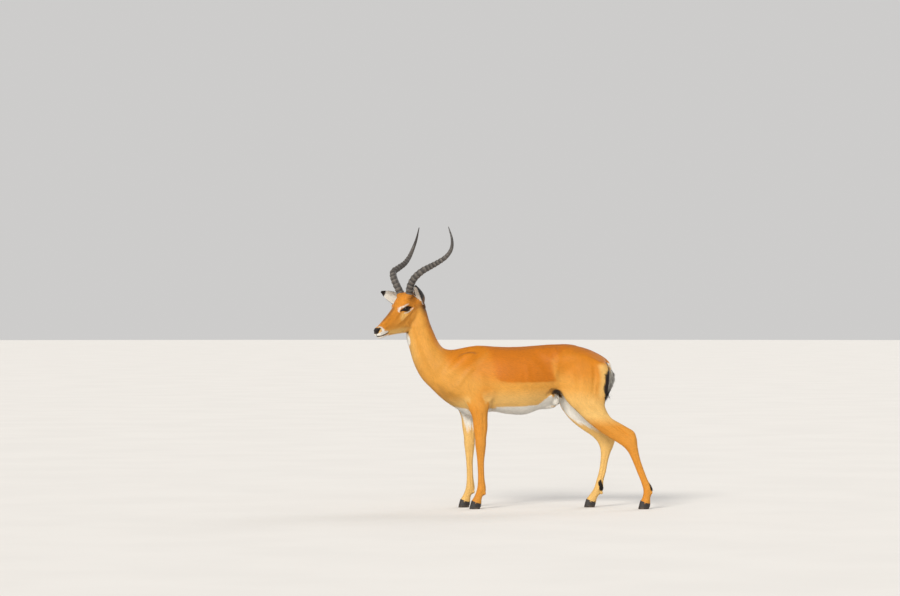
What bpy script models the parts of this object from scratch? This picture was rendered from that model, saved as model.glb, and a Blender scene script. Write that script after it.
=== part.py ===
"""Impala ram, standing with its head turned to its left, as a still life-size museum model.

The animal faces -X and its left side faces -Y. One closed body of flesh and coat is lofted from named
cross-sections, joined, smoothed, and parted by thin cuts into head, neck, trunk, tail and legs. Ears, eyes,
horns and hooves are solids of their own, set in sockets with a small gap.
"""

import math

import bmesh
import bpy
import numpy as np
from mathutils import Matrix, Vector

# ---- driving dimensions, metres ----
GAP = 0.0003  # between two solids that touch
HEAD_YAW = math.radians(40)  # from straight ahead, to the animal's left
HEAD_PITCH = math.radians(35)  # nose below the eye line
EYE_LINE = Vector((-0.570, -0.056, 1.037))  # midway between the eyes
EYE_RADIUS = 0.0195
EYE_OUT = 0.0385  # eye centre, from the head's middle plane
EYE_FORWARD = 0.002
EYE_OPENING = (0.0168, 0.0122, 0.0120)  # half length, half height and half depth between the lids
LID_TILT = math.radians(22)  # front corner of the eye, up from the line of the face
EAR_LENGTH = 0.178
EAR_WIDTH = 0.072
EAR_BASE = (-0.101, -0.047)  # forward of the eyes and above them
EAR_OUT = 0.046
HORN_BASE_RADIUS = 0.0200
HORN_TIP_RADIUS = 0.0030
HORN_TAPER = 1.6  # above 1, the horn stays thick and then narrows to its point
HORN_RIDGE = 0.0012
HOOF_LENGTH = 0.056
HOOF_WIDTH = 0.0215
HOOF_SPLIT = 0.0035
CORONET_SLOPE = math.radians(22)
FORELEG_SHIFT = -0.057  # the right foreleg stands this far ahead of the left
VOXEL = 0.0065
FLESH_TRIANGLES = 4670
SLIVER_FACES = 40
LEG_CUT_LEVEL = 0.603  # the hind legs are parted from the haunches here
LEG_CUT_BACK = 0.4905
BELLY_END_HALF = 0.028  # the belly passes between the thighs inside this half width

RUFOUS = (0.60, 0.22, 0.04)
TAN = (0.72, 0.42, 0.18)
DARK_HORN = (0.045, 0.038, 0.032)
BLACK = (0.012, 0.010, 0.010)
PALE = (0.80, 0.72, 0.62)


# ---- sections: name, top or front (x, z), bottom or back (x, z), half width, side ----
BODY = [
    # name, dorsal (x, z), ventral (x, z), half width, level of the widest, roundness above and below
    ("tail head", (0.503, 0.774), (0.490, 0.712), 0.026, 0.5, 2.0, 2.0),
    ("pin bones", (0.490, 0.784), (0.474, 0.660), 0.058, 0.5, 2.0, 1.9),
    ("rump", (0.452, 0.808), (0.425, 0.637), 0.088, 0.5, 1.9, 1.8),
    ("hips", (0.385, 0.836), (0.355, 0.632), 0.102, 0.55, 2.0, 1.8),
    ("croup", (0.300, 0.854), (0.278, 0.622), 0.104, 0.58, 1.9, 1.8),
    ("groin", (0.235, 0.8535), (0.243, 0.568), 0.102, 0.58, 1.9, 1.6),
    ("loin", (0.185, 0.852), (0.212, 0.530), 0.103, 0.56, 2.0, 1.75),
    ("flank", (0.115, 0.846), (0.140, 0.508), 0.116, 0.50, 2.1, 2.0),
    ("paunch", (0.040, 0.841), (0.070, 0.485), 0.130, 0.46, 2.1, 2.1),
    ("ribs", (-0.040, 0.840), (-0.020, 0.488), 0.134, 0.46, 2.0, 2.1),
    ("girth", (-0.115, 0.845), (-0.105, 0.500), 0.124, 0.48, 1.8, 2.0),
    ("withers", (-0.187, 0.850), (-0.205, 0.474), 0.108, 0.45, 1.6, 2.0),
    ("shoulders", (-0.250, 0.839), (-0.285, 0.517), 0.100, 0.45, 1.7, 2.0),
    ("breast", (-0.310, 0.827), (-0.360, 0.567), 0.091, 0.45, 1.8, 2.0),
    ("neck root", (-0.350, 0.835), (-0.420, 0.622), 0.081, 0.48, 1.9, 2.0),
    ("lower neck", (-0.364, 0.850), (-0.470, 0.675), 0.073, 0.48, 2.0, 2.0),
    ("mid neck", (-0.384, 0.884), (-0.508, 0.750), 0.066, 0.48, 2.0, 2.0),
    ("upper neck", (-0.400, 0.922), (-0.530, 0.825), 0.060, 0.50, 2.0, 2.0),
    ("throat", (-0.416, 0.960), (-0.546, 0.883), 0.057, 0.50, 2.0, 2.0),
    ("throat latch", (-0.428, 1.000), (-0.545, 0.935), 0.054, 0.50, 2.0, 2.0),
    ("nape", (-0.442, 1.045), (-0.540, 0.995), 0.048, 0.50, 2.0, 2.0),
    ("poll", (-0.478, 1.085), (-0.550, 1.045), 0.036, 0.50, 2.0, 2.0),
]

FORELEG = [
    # name, front (x, z), back (x, z), half width, distance from the middle plane
    ("shoulder", (-0.315, 0.700), (-0.150, 0.735), 0.034, 0.066),
    ("upper arm", (-0.300, 0.625), (-0.100, 0.640), 0.038, 0.072),
    ("elbow", (-0.245, 0.550), (-0.103, 0.558), 0.036, 0.076),
    ("forearm", (-0.207, 0.484), (-0.119, 0.499), 0.033, 0.077),
    ("lower forearm", (-0.196, 0.416), (-0.122, 0.421), 0.0270, 0.076),
    ("above knee", (-0.188, 0.364), (-0.129, 0.369), 0.0235, 0.075),
    ("knee", (-0.187, 0.333), (-0.130, 0.333), 0.0240, 0.075),
    ("below knee", (-0.182, 0.296), (-0.134, 0.296), 0.0200, 0.075),
    ("cannon", (-0.176, 0.239), (-0.140, 0.239), 0.0155, 0.075),
    ("lower cannon", (-0.173, 0.160), (-0.138, 0.160), 0.0155, 0.075),
    ("fetlock", (-0.177, 0.107), (-0.131, 0.096), 0.0200, 0.075),
    ("pastern", (-0.189, 0.070), (-0.151, 0.058), 0.0180, 0.075),
    ("coronet", (-0.205, 0.042), (-0.154, 0.026), 0.0225, 0.075),
    ("toe", (-0.213, 0.012), (-0.158, -0.008), 0.0225, 0.075),
]

HINDLEG_LEFT = [
    ("hip", (0.250, 0.800), (0.440, 0.785), 0.044, 0.048),
    ("thigh", (0.222, 0.738), (0.490, 0.735), 0.055, 0.052),
    ("mid thigh", (0.222, 0.672), (0.494, 0.668), 0.055, 0.060),
    ("lower thigh", (0.247, 0.608), (0.486, 0.596), 0.050, 0.070),
    ("stifle", (0.293, 0.552), (0.486, 0.540), 0.044, 0.078),
    ("gaskin", (0.342, 0.500), (0.500, 0.500), 0.038, 0.080),
    ("mid gaskin", (0.398, 0.447), (0.522, 0.470), 0.032, 0.082),
    ("lower gaskin", (0.458, 0.401), (0.562, 0.446), 0.0265, 0.083),
    ("above hock", (0.510, 0.367), (0.603, 0.422), 0.0225, 0.083),
    ("point of hock", (0.548, 0.344), (0.636, 0.400), 0.0215, 0.083),
    ("hock", (0.581, 0.321), (0.650, 0.362), 0.0230, 0.083),
    ("below hock", (0.606, 0.292), (0.655, 0.318), 0.0200, 0.083),
    ("hind cannon", (0.629, 0.245), (0.667, 0.260), 0.0165, 0.083),
    ("mid cannon", (0.649, 0.195), (0.685, 0.206), 0.0155, 0.083),
    ("low cannon", (0.670, 0.143), (0.706, 0.152), 0.0160, 0.083),
    ("fetlock", (0.683, 0.098), (0.730, 0.100), 0.0200, 0.083),
    ("pastern", (0.680, 0.066), (0.720, 0.058), 0.0180, 0.083),
    ("coronet", (0.669, 0.042), (0.720, 0.026), 0.0225, 0.083),
    ("toe", (0.662, 0.012), (0.716, -0.008), 0.0225, 0.083),
]

HINDLEG_RIGHT = [
    ("hip", (0.250, 0.800), (0.440, 0.785), 0.044, 0.048),
    ("thigh", (0.222, 0.738), (0.487, 0.735), 0.055, 0.052),
    ("mid thigh", (0.224, 0.665), (0.487, 0.668), 0.055, 0.060),
    ("lower thigh", (0.236, 0.603), (0.472, 0.600), 0.050, 0.070),
    ("stifle", (0.255, 0.540), (0.446, 0.548), 0.044, 0.078),
    ("gaskin", (0.287, 0.483), (0.448, 0.502), 0.038, 0.080),
    ("mid gaskin", (0.333, 0.436), (0.462, 0.470), 0.032, 0.082),
    ("lower gaskin", (0.380, 0.401), (0.488, 0.438), 0.0265, 0.083),
    ("above hock", (0.421, 0.374), (0.518, 0.406), 0.0225, 0.083),
    ("point of hock", (0.450, 0.345), (0.545, 0.365), 0.0215, 0.083),
    ("hock", (0.465, 0.314), (0.537, 0.322), 0.0230, 0.083),
    ("below hock", (0.470, 0.281), (0.521, 0.284), 0.0200, 0.083),
    ("hind cannon", (0.468, 0.239), (0.508, 0.239), 0.0165, 0.083),
    ("mid cannon", (0.461, 0.190), (0.498, 0.187), 0.0155, 0.083),
    ("low cannon", (0.448, 0.143), (0.485, 0.138), 0.0160, 0.083),
    ("fetlock", (0.434, 0.099), (0.481, 0.091), 0.0200, 0.083),
    ("pastern", (0.414, 0.068), (0.454, 0.054), 0.0180, 0.083),
    ("coronet", (0.395, 0.042), (0.446, 0.026), 0.0225, 0.083),
    ("toe", (0.386, 0.012), (0.440, -0.008), 0.0225, 0.083),
]

HEAD = [
    # forward of the eyes, top, bottom, half width, level of the widest, roundness above and below
    ("occiput", -0.112, 0.030, -0.070, 0.030, 0.55, 2.2, 2.0),
    ("crown", -0.092, 0.048, -0.094, 0.043, 0.62, 2.2, 1.9),
    ("ears", -0.065, 0.057, -0.108, 0.050, 0.65, 2.3, 1.8),
    ("horns", -0.036, 0.058, -0.122, 0.053, 0.67, 2.4, 1.7),
    ("eyes", 0.000, 0.048, -0.129, 0.050, 0.71, 2.4, 1.6),
    ("cheeks", 0.032, 0.036, -0.126, 0.042, 0.65, 2.2, 1.6),
    ("face", 0.066, 0.030, -0.112, 0.034, 0.60, 2.1, 1.7),
    ("bridge", 0.100, 0.0245, -0.092, 0.029, 0.55, 2.1, 1.9),
    ("muzzle", 0.132, 0.020, -0.075, 0.0275, 0.53, 2.2, 2.0),
    ("nostrils", 0.160, 0.014, -0.062, 0.0280, 0.54, 2.6, 2.1),
    ("lips", 0.184, 0.0125, -0.053, 0.0270, 0.56, 2.8, 2.1),
    ("nose", 0.203, 0.009, -0.046, 0.0230, 0.60, 2.8, 2.0),
    ("nose tip", 0.214, 0.001, -0.034, 0.0150, 0.60, 2.6, 2.0),
]

TAIL = [
    # centre (x, z), half depth, half width
    ("dock", (0.470, 0.762), 0.020, 0.022),
    ("root", (0.498, 0.757), 0.0165, 0.020),
    ("upper tail", (0.515, 0.735), 0.0130, 0.0175),
    ("mid tail", (0.524, 0.700), 0.0125, 0.0190),
    ("lower tail", (0.521, 0.662), 0.0125, 0.0200),
    ("brush", (0.511, 0.625), 0.0110, 0.0175),
    ("brush end", (0.503, 0.588), 0.0075, 0.0110),
    ("tail tip", (0.499, 0.562), 0.0025, 0.0035),
]

HORN = [
    # back, out and up from the middle of the two horn bases
    ("root", 0.008, 0.026, -0.030),
    ("base", 0.004, 0.034, 0.000),
    ("rise", -0.005, 0.053, 0.040),
    ("flare", -0.003, 0.083, 0.082),
    ("elbow", 0.019, 0.114, 0.116),
    ("sweep", 0.063, 0.122, 0.139),
    ("back", 0.110, 0.132, 0.162),
    ("turn", 0.154, 0.151, 0.194),
    ("upright", 0.184, 0.158, 0.236),
    ("point", 0.198, 0.145, 0.288),
    ("tip", 0.196, 0.120, 0.350),
]


# ---- curves and lofts ----
def smooth_through(rows, steps):
    """Rows of numbers, `steps` per interval, on a Catmull-Rom curve through all the given rows."""
    rows = np.asarray(rows, float)
    ends = np.vstack([2 * rows[0] - rows[1], rows, 2 * rows[-1] - rows[-2]])
    found = []
    for i in range(1, len(rows)):
        before, start, stop, after = ends[i - 1 : i + 3]
        for t in np.arange(steps) / steps:
            found.append(
                start
                + 0.5 * t * (stop - before)
                + t**2 * (before - 2.5 * start + 2 * stop - 0.5 * after)
                + t**3 * (1.5 * (start - stop) + 0.5 * (after - before))
            )
    found.append(rows[-1])
    return np.array(found)


def power(value, exponent):
    return math.copysign(abs(value) ** exponent, value)


def oval(centre, up, down, side, round_up=2.0, round_down=2.0, count=20):
    """A closed ring whose upper and lower halves are superellipses: `up`, `down` and `side` are vectors."""
    ring = []
    for k in range(count):
        angle = 2 * math.pi * k / count
        c, s = math.cos(angle), math.sin(angle)
        roundness = round_up if c > 0 else round_down
        height = up if c > 0 else down
        ring.append(centre + height * abs(power(c, 2 / roundness)) + side * power(s, 2 / roundness))
    return ring


def loft(rings):
    """A closed mesh through rings of one count, with a flat face at each end."""
    mesh = bmesh.new()
    loops = [[mesh.verts.new(point) for point in ring] for ring in rings]
    for low, high in zip(loops, loops[1:]):
        for k in range(len(low)):
            after = (k + 1) % len(low)
            mesh.faces.new((low[k], low[after], high[after], high[k]))
    mesh.faces.new(loops[0][::-1])
    mesh.faces.new(loops[-1])
    bmesh.ops.recalc_face_normals(mesh, faces=mesh.faces)
    if mesh.calc_volume(signed=True) < 0:
        bmesh.ops.reverse_faces(mesh, faces=mesh.faces)
    return mesh


def as_object(name, mesh):
    data = bpy.data.meshes.new(name)
    mesh.to_mesh(data)
    mesh.free()
    item = bpy.data.objects.new(name, data)
    bpy.context.collection.objects.link(item)
    return item


def helper(name, mesh):
    item = as_object(name, mesh)
    item.hide_render = True
    item.display_type = "WIRE"
    return item


# ---- the forms of the body ----
def body_form():
    rows = [(*top, *low, half, level, up, down) for _, top, low, half, level, up, down in BODY]
    rings = []
    for top_x, top_z, low_x, low_z, half, level, up, down in smooth_through(rows, 3):
        top, low = Vector((top_x, 0, top_z)), Vector((low_x, 0, low_z))
        centre = low.lerp(top, level)
        rings.append(oval(centre, top - centre, low - centre, Vector((0, half, 0)), up, down, 28))
    return loft(rings)


def leg_form(sections, side, shift=0.0):
    """side is -1 for the animal's left and 1 for its right.

    The haunch is blunt behind and thin in front.
    """
    rows = [(*front, *back, half, out) for _, front, back, half, out in sections]
    rings = []
    for front_x, front_z, back_x, back_z, half, out in smooth_through(rows, 3):
        front = Vector((front_x + shift, side * out, front_z))
        back = Vector((back_x + shift, side * out, back_z))
        centre = (front + back) / 2
        haunch = min(max(((front - back).length - 0.12) / 0.10, 0), 1)
        half_side = Vector((0, half, 0))
        rings.append(oval(centre, front - centre, back - centre, half_side, 2 - 0.25 * haunch, 2 + haunch))
    return loft(rings)


def head_frame():
    """Forward along the face, up and to the animal's left, as world vectors."""
    ahead = Vector((-math.cos(HEAD_YAW), -math.sin(HEAD_YAW), 0))
    forward = ahead * math.cos(HEAD_PITCH) - Vector((0, 0, math.sin(HEAD_PITCH)))
    up = ahead * math.sin(HEAD_PITCH) + Vector((0, 0, math.cos(HEAD_PITCH)))
    return forward, up, Vector((math.sin(HEAD_YAW), -math.cos(HEAD_YAW), 0))


def on_head(forward, up, left):
    along, above, aside = head_frame()
    return EYE_LINE + along * forward + above * up + aside * left


def head_form():
    _, above, aside = head_frame()
    rows = [row[1:] for row in HEAD]
    rings = []
    for forward, top, low, half, level, up, down in smooth_through(rows, 3):
        middle = low + (top - low) * level
        centre = on_head(forward, middle, 0)
        rings.append(oval(centre, above * (top - middle), above * (low - middle), aside * half, up, down))
    return loft(rings)


def ball(centre, radii, axes, segments=20, rings=12):
    mesh = bmesh.new()
    bmesh.ops.create_uvsphere(mesh, u_segments=segments, v_segments=rings, radius=1)
    turn = Matrix([axis * radius for axis, radius in zip(axes, radii)]).transposed().to_4x4()
    bmesh.ops.transform(mesh, matrix=Matrix.Translation(centre) @ turn, verts=mesh.verts)
    if mesh.calc_volume(signed=True) < 0:
        bmesh.ops.reverse_faces(mesh, faces=mesh.faces)
    return mesh


def head_details():
    """Brows over the eyes, cheek muscles, and the flesh that the horns and ears grow from."""
    axes = head_frame()
    details = []
    for left in (1, -1):
        details.append(ball(on_head(-0.002, 0.006, left * 0.036), (0.033, 0.025, 0.0215), axes))
        details.append(ball(on_head(-0.030, -0.052, left * 0.026), (0.045, 0.042, 0.0225), axes))
        details.append(ball(on_head(-0.058, 0.040, left * 0.031), (0.026, 0.024, 0.026), axes))
        details.append(ball(on_head(-0.088, -0.028, left * 0.034), (0.028, 0.034, 0.021), axes))
    return details


def tail_form():
    rows = [(x, z, depth, half) for _, (x, z), depth, half in TAIL]
    rows = smooth_through(rows, 3)
    rings = []
    for i, (x, z, depth, half) in enumerate(rows):
        before, after = rows[max(i - 1, 0)], rows[min(i + 1, len(rows) - 1)]
        along = Vector((after[0] - before[0], 0, after[1] - before[1])).normalized()
        back = Vector((-along.z, 0, along.x)) * depth
        rings.append(oval(Vector((x, 0, z)), back, -back, Vector((0, half, 0)), count=14))
    return loft(rings)


def muscles():
    """Shoulder blade, upper arm, haunch and breast, as ovals that lie along the bones."""
    details = []
    for side in (-1, 1):
        for start, stop, half_length, depth, thick, out in (
            ((-0.190, 0.800), (-0.345, 0.650), 0.120, 0.060, 0.032, 0.068),
            ((-0.345, 0.650), (-0.135, 0.575), 0.115, 0.056, 0.032, 0.072),
            ((0.235, 0.775), (0.440, 0.740), 0.110, 0.060, 0.036, 0.068),
        ):
            along = Vector((stop[0] - start[0], 0, stop[1] - start[1])).normalized()
            across = Vector((-along.z, 0, along.x))
            centre = Vector(((start[0] + stop[0]) / 2, side * out, (start[1] + stop[1]) / 2))
            radii = (half_length, depth, thick)
            details.append(ball(centre, radii, (along, across, Vector((0, 1, 0)))))
    return details


def purse():
    """What hangs between a ram's thighs, and the fold under the belly that leads to it."""
    axes = (Vector((1, 0, 0)), Vector((0, 0, 1)), Vector((0, 1, 0)))
    details = [ball(Vector((0.232, side * 0.010, 0.562)), (0.025, 0.031, 0.0145), axes) for side in (-1, 1)]
    details.append(ball(Vector((0.165, 0, 0.530)), (0.070, 0.018, 0.024), axes))
    return details


def dewclaws():
    details = []
    for sections, side, shift in feet():
        fetlock = dict((row[0], row) for row in sections)["fetlock"]
        back = Vector((fetlock[2][0] + shift, 0, fetlock[2][1] - 0.012))
        for inner in (-1, 1):
            centre = back + Vector((-0.009, side * fetlock[4] + inner * 0.010, 0))
            axes = (Vector((1, 0, 0)), Vector((0, 0, 1)), Vector((0, 1, 0)))
            details.append(ball(centre, (0.008, 0.011, 0.007), axes, 10, 8))
    return details


def feet():
    return (
        (FORELEG, -1, 0.0),
        (FORELEG, 1, FORELEG_SHIFT),
        (HINDLEG_LEFT, -1, 0.0),
        (HINDLEG_RIGHT, 1, 0.0),
    )


def flesh():
    """All the fleshy forms as one closed surface."""
    forms = [body_form(), head_form(), tail_form(), *head_details(), *muscles(), *purse(), *dewclaws()]
    forms += [leg_form(*foot) for foot in feet()]
    joined = bmesh.new()
    for form in forms:
        data = bpy.data.meshes.new("form")
        form.to_mesh(data)
        joined.from_mesh(data)
        bpy.data.meshes.remove(data)
        form.free()
    item = as_object("flesh", joined)
    remesh = item.modifiers.new("one surface", "REMESH")
    remesh.mode = "VOXEL"
    remesh.voxel_size = VOXEL
    apply_modifiers(item)
    return item


def apply_modifiers(item):
    graph = bpy.context.evaluated_depsgraph_get()
    made = bpy.data.meshes.new_from_object(item.evaluated_get(graph))
    item.modifiers.clear()
    item.data = made


def soften(item):
    """Smooths where the forms meet: most on the trunk, little on the thin legs and the face."""
    group = item.vertex_groups.new(name="soft")
    for vertex in item.data.vertices:
        x, y, z = vertex.co
        trunk = min(max((z - 0.50) / 0.12, 0), 1) * min(max((x + 0.52) / 0.06, 0), 1)
        tail = min(max((0.485 - x) / 0.02, 0), 1)
        group.add([vertex.index], 0.05 + 0.95 * trunk * tail, "REPLACE")
    smooth = item.modifiers.new("soften", "SMOOTH")
    smooth.factor = 0.5
    smooth.iterations = 34
    smooth.vertex_group = group.name
    apply_modifiers(item)
    fewer = item.modifiers.new("fewer faces", "DECIMATE")
    fewer.ratio = FLESH_TRIANGLES / (2 * len(item.data.polygons))
    apply_modifiers(item)


# ---- cuts ----
def slab(name, start, stop, sides=(-0.3, 0.3)):
    """A cutter as thin as the gap, from start to stop in the (x, z) plane and between two sides."""
    start, stop = Vector((start[0], 0, start[1])), Vector((stop[0], 0, stop[1]))
    along = (stop - start).normalized()
    across = Vector((-along.z, 0, along.x)) * GAP / 2
    ring = [start - across, stop - across, stop + across, start + across]
    return helper(name, loft([[p + Vector((0, y, 0)) for p in ring] for y in sides]))


def plate(name, corner, opposite):
    """A flat cutter between two corners, as thin as the gap where they share a coordinate."""
    low = Vector([min(a, b) - GAP / 2 for a, b in zip(corner, opposite)])
    high = Vector([max(a, b) + GAP / 2 for a, b in zip(corner, opposite)])
    mesh = bmesh.new()
    bmesh.ops.create_cube(mesh, size=1)
    size = high - low
    place = Matrix.Translation((low + high) / 2) @ Matrix.Diagonal((*size, 1))
    bmesh.ops.transform(mesh, matrix=place, verts=mesh.verts)
    return helper(name, mesh)


def boolean(item, cutter, operation="DIFFERENCE"):
    cut = item.modifiers.new(cutter.name, "BOOLEAN")
    cut.object = cutter
    cut.operation = operation
    cut.solver = "EXACT"
    apply_modifiers(item)


def part_flesh(item):
    """Cuts the flesh at the throat, neck, dock, legs and coronets."""
    cutters = [
        slab("throat cut", (-0.386, 1.100), (-0.574, 0.840)),
        slab("neck cut", (-0.309, 0.906), (-0.446, 0.544)),
        plate("dock cut", (0.5035, -0.05, 0.690), (0.5035, 0.05, 0.800)),
        plate("foreleg cut", (-0.310, -0.3, 0.458), (-0.080, 0.3, 0.458)),
        plate("hindleg cut", (0.270, -0.3, LEG_CUT_LEVEL), (LEG_CUT_BACK, 0.3, LEG_CUT_LEVEL)),
    ]
    for label, side, front in (("left", -1, 0.2425), ("right", 1, 0.2285)):
        inner, outer = side * BELLY_END_HALF, side * 0.3
        cutters += [
            plate(f"{label} fold", (front, inner, 0.450), (front, outer, LEG_CUT_LEVEL)),
            plate(f"{label} inside", (front, inner, 0.450), (0.270, inner, LEG_CUT_LEVEL)),
            plate(f"{label} groin", (front, inner, LEG_CUT_LEVEL), (0.270, outer, LEG_CUT_LEVEL)),
        ]
    for cutter in cutters:
        boolean(item, cutter)
    for number, (sections, side, shift) in enumerate(feet()):
        boolean(item, coronet_cutter(f"coronet cut {number}", sections, side, shift))


def coronet_centre(sections, side, shift):
    """The middle of the leg's end and the slope of its coronet."""
    coronet = dict((row[0], row) for row in sections)["coronet"]
    x = (coronet[1][0] + coronet[2][0]) / 2 + shift
    return Vector((x, side * coronet[4], (coronet[1][1] + coronet[2][1]) / 2))


def coronet_cutter(name, sections, side, shift):
    middle = coronet_centre(sections, side, shift)
    along = Vector((math.cos(CORONET_SLOPE), 0, -math.sin(CORONET_SLOPE)))
    down = Vector((-math.sin(CORONET_SLOPE), 0, -math.cos(CORONET_SLOPE)))
    near, far = middle - along * 0.06, middle + along * 0.06
    ring = [near, far, far + down * 0.08, near + down * 0.08]
    sides = (-0.05, 0.05)
    return helper(name, loft([[p + Vector((0, y, 0)) for p in ring] for y in sides]))


def islands(item):
    """The item's loose pieces as lists of faces, largest first."""
    mesh = bmesh.new()
    mesh.from_mesh(item.data)
    left = set(mesh.faces)
    found = []
    while left:
        front = [left.pop()]
        piece = list(front)
        while front:
            face = front.pop()
            for edge in face.edges:
                for other in edge.link_faces:
                    if other in left:
                        left.remove(other)
                        front.append(other)
                        piece.append(other)
        found.append(sorted(face.index for face in piece))
    mesh.free()
    return sorted(found, key=lambda piece: (-len(piece), piece[0]))


def split(item):
    """One mesh for each loose piece, without the slivers that the cuts leave in the groin."""
    pieces = []
    for keep in islands(item):
        if len(keep) < SLIVER_FACES:
            continue
        keep = set(keep)
        mesh = bmesh.new()
        mesh.from_mesh(item.data)
        mesh.faces.ensure_lookup_table()
        doomed = [face for face in mesh.faces if face.index not in keep]
        bmesh.ops.delete(mesh, geom=doomed, context="FACES")
        pieces.append(mesh)
    return pieces


def centre_of(mesh):
    points = np.array([vertex.co for vertex in mesh.verts])
    return (points.min(0) + points.max(0)) / 2


def name_pieces(pieces):
    """Each piece takes the name of the nearest of these places."""
    places = {
        "head": (-0.60, -0.10, 1.02),
        "neck": (-0.45, 0.0, 0.82),
        "trunk": (0.08, 0.0, 0.68),
        "tail": (0.51, 0.0, 0.66),
        "foreleg_left": (-0.16, -0.075, 0.24),
        "foreleg_right": (-0.22, 0.075, 0.24),
        "hindleg_left": (0.48, -0.08, 0.30),
        "hindleg_right": (0.38, 0.08, 0.30),
    }
    named = {}
    for mesh in pieces:
        middle = centre_of(mesh)
        name = min(places, key=lambda key: np.linalg.norm(middle - np.array(places[key])))
        if name in named:
            raise ValueError(f"two pieces of flesh are nearest to {name}")
        named[name] = as_object(name, mesh)
    if len(named) != len(places):
        raise ValueError(f"missing pieces: {sorted(set(places) - set(named))}")
    return named


# ---- eyes, ears, horns, hooves ----
def eye_centre(left):
    return on_head(EYE_FORWARD, 0.0, left * EYE_OUT)


def eye_form(left, grow=0.0):
    radius = EYE_RADIUS + grow
    return ball(eye_centre(left), (radius, radius, radius), head_frame(), 12, 8)


def eye_opening(left):
    """What is cut out between the lids: longest nearly level, though the face slopes down."""
    along, above, aside = head_frame()
    length = along * math.cos(LID_TILT) + above * math.sin(LID_TILT)
    height = above * math.cos(LID_TILT) - along * math.sin(LID_TILT)
    centre = eye_centre(left) + aside * left * EYE_RADIUS
    return ball(centre, EYE_OPENING, (length, height, aside), 16, 10)


def horn_points(left):
    back = Vector((math.cos(HEAD_YAW), math.sin(HEAD_YAW), 0))
    aside = head_frame()[2] * left
    base = on_head(-0.062, 0.048, 0)
    rows = smooth_through([row[1:] for row in HORN], 3)
    return [base + back * b + aside * o + Vector((0, 0, u)) for b, o, u in rows]


def horn_form(left, grow=0.0):
    points = horn_points(left)
    steps = [0.0]
    for start, stop in zip(points, points[1:]):
        steps.append(steps[-1] + (stop - start).length)
    rings = []
    count = len(points)
    for i, point in enumerate(points):
        share = steps[i] / steps[-1]
        along = (points[min(i + 1, count - 1)] - points[max(i - 1, 0)]).normalized()
        side = along.cross(Vector((0, 1, 0))).normalized()
        across = along.cross(side)
        radius = HORN_BASE_RADIUS + (HORN_TIP_RADIUS - HORN_BASE_RADIUS) * share**HORN_TAPER + grow
        if i % 2 and 0.1 < share < 0.72:
            radius += HORN_RIDGE
        if grow and i == 0:
            point = point - along * grow
        rings.append(oval(point, side * radius, -side * radius, across * radius, count=10))
    return loft(rings)


def ear_axes(left):
    """Along the ear, across it and out of its hollow."""
    ahead = Vector((-math.cos(HEAD_YAW), -math.sin(HEAD_YAW), 0))
    aside = head_frame()[2] * left
    if left > 0:
        along = ahead * 0.65 + aside * 0.46 + Vector((0, 0, 0.55))
        hollow = ahead * 0.97 - Vector((0, 0, 0.10))
    else:
        along = ahead * 0.76 + aside * 0.62 + Vector((0, 0, 0.42))
        hollow = ahead * 0.81 - aside * 0.50 - Vector((0, 0, 0.20))
    along.normalize()
    across = along.cross(hollow).normalized()
    return along, across, across.cross(along).normalized()


EAR = [
    # share of the length, share of the width, depth of the hollow, thickness
    ("root", -0.12, 0.34, 0.10, 0.020),
    ("neck of the ear", 0.08, 0.44, 0.25, 0.017),
    ("bell", 0.26, 0.86, 0.85, 0.0075),
    ("blade", 0.46, 1.00, 0.78, 0.0060),
    ("upper blade", 0.66, 0.86, 0.66, 0.0055),
    ("taper", 0.84, 0.56, 0.50, 0.0050),
    ("ear tip", 0.96, 0.20, 0.20, 0.0045),
    ("end", 1.00, 0.07, 0.10, 0.0035),
]


def ear_form(left, grow=0.0):
    """A leaf that is curled into a hollow: each ring is a crescent."""
    along, across, hollow = ear_axes(left)
    base = on_head(*EAR_BASE, left * EAR_OUT)
    rings = []
    half_count = 7
    for share, width, depth, thick in smooth_through([row[1:] for row in EAR], 2):
        centre = base + along * (share * EAR_LENGTH)
        half = width * EAR_WIDTH / 2 + grow
        ring = []
        for wall in (1, -1):
            for k in range(half_count):
                place = (2 * k / (half_count - 1) - 1) * wall
                bend = depth * half * (place**2 - 0.6)
                cheek = math.sqrt(max(1 - place**2, 0.0)) * 0.5 + 0.12
                skin = -wall * (thick * cheek + grow)
                ring.append(centre + across * (half * place) + hollow * (bend + skin))
        rings.append(ring)
    if grow:
        rings[0] = [point - along * grow for point in rings[0]]
    # The ear and its socket split their bent faces along the same diagonals.
    mesh = loft(rings)
    bmesh.ops.triangulate(mesh, faces=mesh.faces, quad_method="FIXED")
    return mesh


def hoof_form(sections, side, shift, inner):
    """One of the two claws of a foot: pointed in front, flat below, sloped like the coronet on top."""
    middle = coronet_centre(sections, side, shift)
    out = inner * (HOOF_WIDTH + HOOF_SPLIT) / 2
    slope = math.tan(CORONET_SLOPE)
    rings = []
    for level, length, lean in ((0.0, 1.0, 0.0), (0.45, 0.96, 0.35), (1.0, 0.86, 0.80)):
        ring = []
        count = 12
        for k in range(count):
            angle = 2 * math.pi * k / count
            c, s = math.cos(angle), math.sin(angle)
            reach = -c if c > 0 else -c * 0.95
            half = HOOF_LENGTH * length / 2
            x = middle.x - 0.009 + lean * 0.010 + reach * half
            taper = 1 - 0.30 * max(c, 0) ** 1.5
            y = middle.y + out + power(s, 0.85) * HOOF_WIDTH / 2 * taper * (1 - 0.08 * level)
            if inner * (y - middle.y) < HOOF_SPLIT / 2:
                y = middle.y + inner * HOOF_SPLIT / 2
            top = middle.z - GAP / math.cos(CORONET_SLOPE) - (x - middle.x) * slope
            ring.append(Vector((x, y, level * top)))
        rings.append(ring)
    return loft(rings)


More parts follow.
